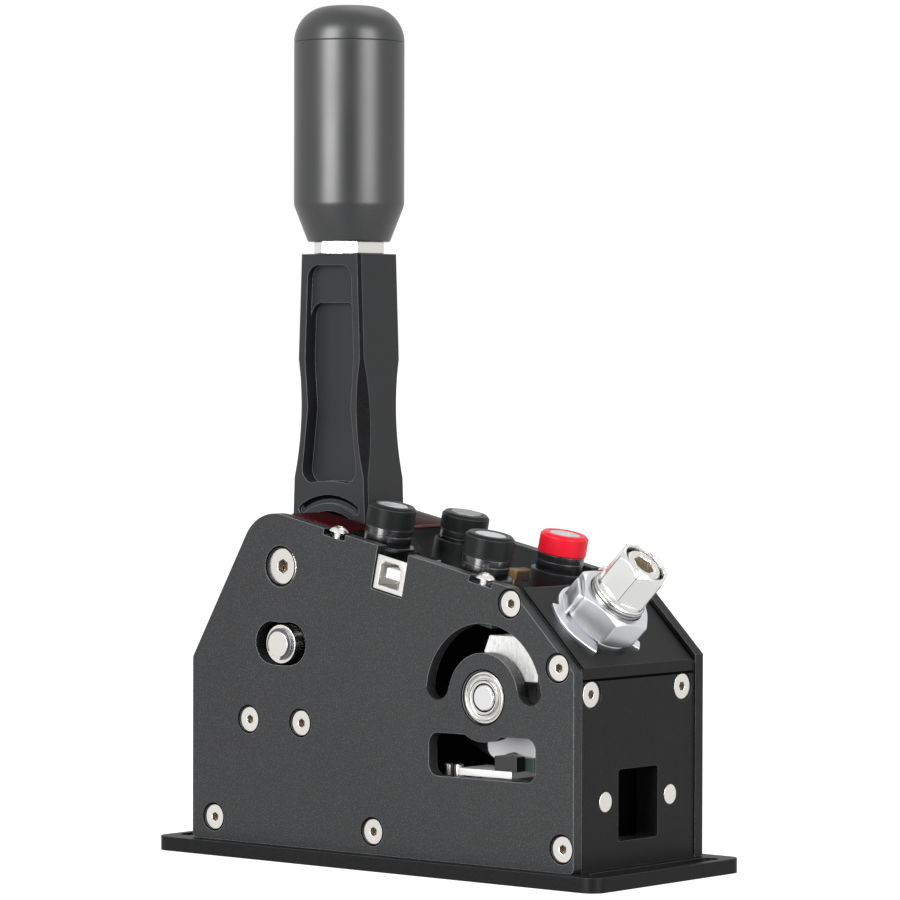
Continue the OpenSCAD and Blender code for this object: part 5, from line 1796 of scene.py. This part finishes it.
@dataclass
class Studio:
    """Floor, lights and the camera of the photograph, in metres and degrees."""

    floor_size: float = 60.0
    floor_drop: float = 0.0002
    floor_shade: float = 0.86
    floor_roughness: float = 0.9
    floor_glow: float = 1.2
    camera_at: tuple[float, float, float] = (-1.039455, -0.869039, 0.157715)
    azimuth: float = -50.183
    pitch: float = 1.242
    roll: float = 0.149
    focal_px: float = 4344.53
    frame_px: float = 900.0
    sensor_mm: float = 36.0
    clip: tuple[float, float] = (0.05, 100.0)
    ambient: float = 0.3
    mirrored: float = 0.95
    aim_height: float = 0.12
    boxes: tuple[Softbox, ...] = (
        Softbox("left", 180.0, 14.0, 0.85, 1.7, 12.0), Softbox("right", 262.0, 12.0, 0.85, 1.7, 7.8),
        Softbox("above", 20.0, 60.0, 1.0, 0.8, 1.0))
    card_distance: float = 0.7
    card_height: float = 0.15
    card_size: tuple[float, float] = (0.26, 0.9)

    def build(self) -> None:
        """Make the floor, the world, the lights and the camera."""
        self._floor()
        self._card()
        self._world()
        for box in self.boxes:
            self._light(box)
        self._camera()
        bpy.context.scene.view_settings.view_transform = "Standard"

    def _light(self, box: Softbox) -> None:
        """Hang one softbox that looks at the unit.

        Args:
            box: the softbox.
        """
        data = bpy.data.lights.new(box.name, "AREA")
        data.shape = "RECTANGLE"
        data.size, data.size_y = box.wide, box.tall
        data.energy = box.radiance * math.pi * box.wide * box.tall
        lamp = bpy.data.objects.new(box.name, data)
        bpy.context.scene.collection.objects.link(lamp)
        turn, lift = math.radians(box.azimuth), math.radians(box.elevation)
        way = Vector((math.cos(turn) * math.cos(lift), math.sin(turn) * math.cos(lift), math.sin(lift)))
        lamp.location = Vector((0, 0, self.aim_height)) + box.distance * way
        lamp.rotation_mode = "QUATERNION"
        lamp.rotation_quaternion = (-way).to_track_quat("-Z", "Y")

    @staticmethod
    def _sheet(name: str, wide: float, tall: float) -> bpy.types.Object:
        """Make a flat sheet round the origin.

        Args:
            name: name of the sheet.
            wide: its size along X.
            tall: its size along Y.

        Returns:
            The sheet's object.
        """
        bm = bmesh.new()
        bmesh.ops.create_grid(bm, x_segments=1, y_segments=1, size=0.5)
        bmesh.ops.scale(bm, vec=(wide, tall, 1.0), verts=bm.verts[:])
        mesh = bpy.data.meshes.new(name)
        bm.to_mesh(mesh)
        bm.free()
        sheet = bpy.data.objects.new(name, mesh)
        bpy.context.scene.collection.objects.link(sheet)
        return sheet

    def _floor(self) -> None:
        """Lay a pale floor that keeps the unit's shadow and looks white to the camera."""
        floor = self._sheet("floor", self.floor_size, self.floor_size)
        floor.location.z = -self.floor_drop
        floor.visible_diffuse = floor.visible_glossy = False
        made = bpy.data.materials.new("floor_pale")
        made.use_nodes = True
        tree = made.node_tree
        shader = tree.nodes["Principled BSDF"]
        shader.inputs["Base Color"].default_value = (*(self.floor_shade,) * 3, 1)
        shader.inputs["Roughness"].default_value = self.floor_roughness
        glow = add_node(tree, "ShaderNodeEmission")
        glow.inputs["Strength"].default_value = self.floor_glow
        path = add_node(tree, "ShaderNodeLightPath")
        self._blend(tree, path.outputs["Is Camera Ray"], shader.outputs["BSDF"], glow.outputs["Emission"],
                    "Material Output")
        floor.data.materials.append(made)

    @staticmethod
    def _blend(tree: bpy.types.NodeTree, share: Socket, first: Socket, second: Socket, output: str) -> None:
        """Lead a mix of two shaders to a tree's surface.

        Args:
            tree: the tree of a material or a world.
            share: how much of the second shader shows.
            first: the shader that most rays see.
            second: the shader that the others see.
            output: name of the tree's output node.
        """
        mix = add_node(tree, "ShaderNodeMixShader")
        tree.links.new(share, mix.inputs["Fac"])
        tree.links.new(first, mix.inputs[1])
        tree.links.new(second, mix.inputs[2])
        tree.links.new(mix.outputs["Shader"], tree.nodes[output].inputs["Surface"])

    def _card(self) -> None:
        """Stand a black card before the camera that only reflections see, so that faces stay dark."""
        card = self._sheet("card", *self.card_size)
        away = math.radians(self.azimuth)
        card.location = (self.card_distance * math.sin(away), -self.card_distance * math.cos(away),
                         self.card_height)
        card.rotation_euler = (math.pi / 2, 0.0, away)
        card.visible_camera = card.visible_diffuse = card.visible_shadow = card.visible_transmission = False
        card.data.materials.append(PALETTE.get(EXTRA["painted_shade_and_card_black"]))

    def _world(self) -> None:
        """Fill the studio with even light, and show white behind the unit."""
        world = bpy.data.worlds.new("studio")
        world.use_nodes = True
        tree = world.node_tree
        ambient = tree.nodes["Background"]
        white = add_node(tree, "ShaderNodeBackground")
        for background in (ambient, white):
            background.inputs["Color"].default_value = (1, 1, 1, 1)
        path = add_node(tree, "ShaderNodeLightPath")
        strength = add_math(tree, "MULTIPLY_ADD", path.outputs["Is Glossy Ray"],
                            self.mirrored - self.ambient, self.ambient)
        tree.links.new(strength, ambient.inputs["Strength"])
        seen = add_math(tree, "MAXIMUM", path.outputs["Is Camera Ray"], path.outputs["Is Transmission Ray"])
        self._blend(tree, seen, ambient.outputs["Background"], white.outputs["Background"], "World Output")
        bpy.context.scene.world = world

    def _camera(self) -> None:
        """Set the camera that was fitted to the photograph."""
        data = bpy.data.cameras.new("camera")
        data.sensor_width = self.sensor_mm
        data.lens = self.focal_px / self.frame_px * self.sensor_mm
        data.clip_start, data.clip_end = self.clip
        camera = bpy.data.objects.new("camera", data)
        bpy.context.scene.collection.objects.link(camera)
        a, e, r = (math.radians(v) for v in (self.azimuth, self.pitch, self.roll))
        back = Vector((math.sin(a) * math.cos(e), -math.cos(a) * math.cos(e), math.sin(e)))
        right = Vector((math.cos(a), math.sin(a), 0.0))
        up = back.cross(right).normalized()
        rolled = right * math.cos(r) + up * math.sin(r)
        raised = up * math.cos(r) - right * math.sin(r)
        turn = Matrix((rolled, raised, back)).transposed()
        camera.matrix_world = Matrix.Translation(self.camera_at) @ turn.to_4x4()
        bpy.context.scene.camera = camera


class Dressing:
    """Gives every node of the solid model the material of its record slot or its own special finish."""

    def build(self) -> None:
        """Assign the materials."""
        for row in frame["record"]["subparts"]:
            name = row["node"]
            node = frame["nodes"][name]
            finish = SPECIAL.get(name) or FINISHES[row["material_slot"]]
            node.data.materials.clear()
            node.data.materials.append(PALETTE.get(finish))
        log.info("dressed %d nodes", len(frame["nodes"]))


def main() -> None:
    """Build the studio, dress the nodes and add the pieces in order."""
    logging.basicConfig(level=logging.INFO, format="%(name)s %(message)s")
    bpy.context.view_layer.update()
    Studio().build()
    Dressing().build()
    for piece in (LeverBody(), LeverGrooves(), WindowFillers(), WindowStrip(), PreloadSpring(),
                  LeverCollar(), Knob(), Adjuster(), Bearings(), CapDiscs(), CapSkirts(), LeverGate(),
                  ScrewSockets(), GapShade(), PlateEdge(), SocketTongue(), BoardParts(), SensorParts()):
        piece.build()


if __name__ == "__main__":
    main()
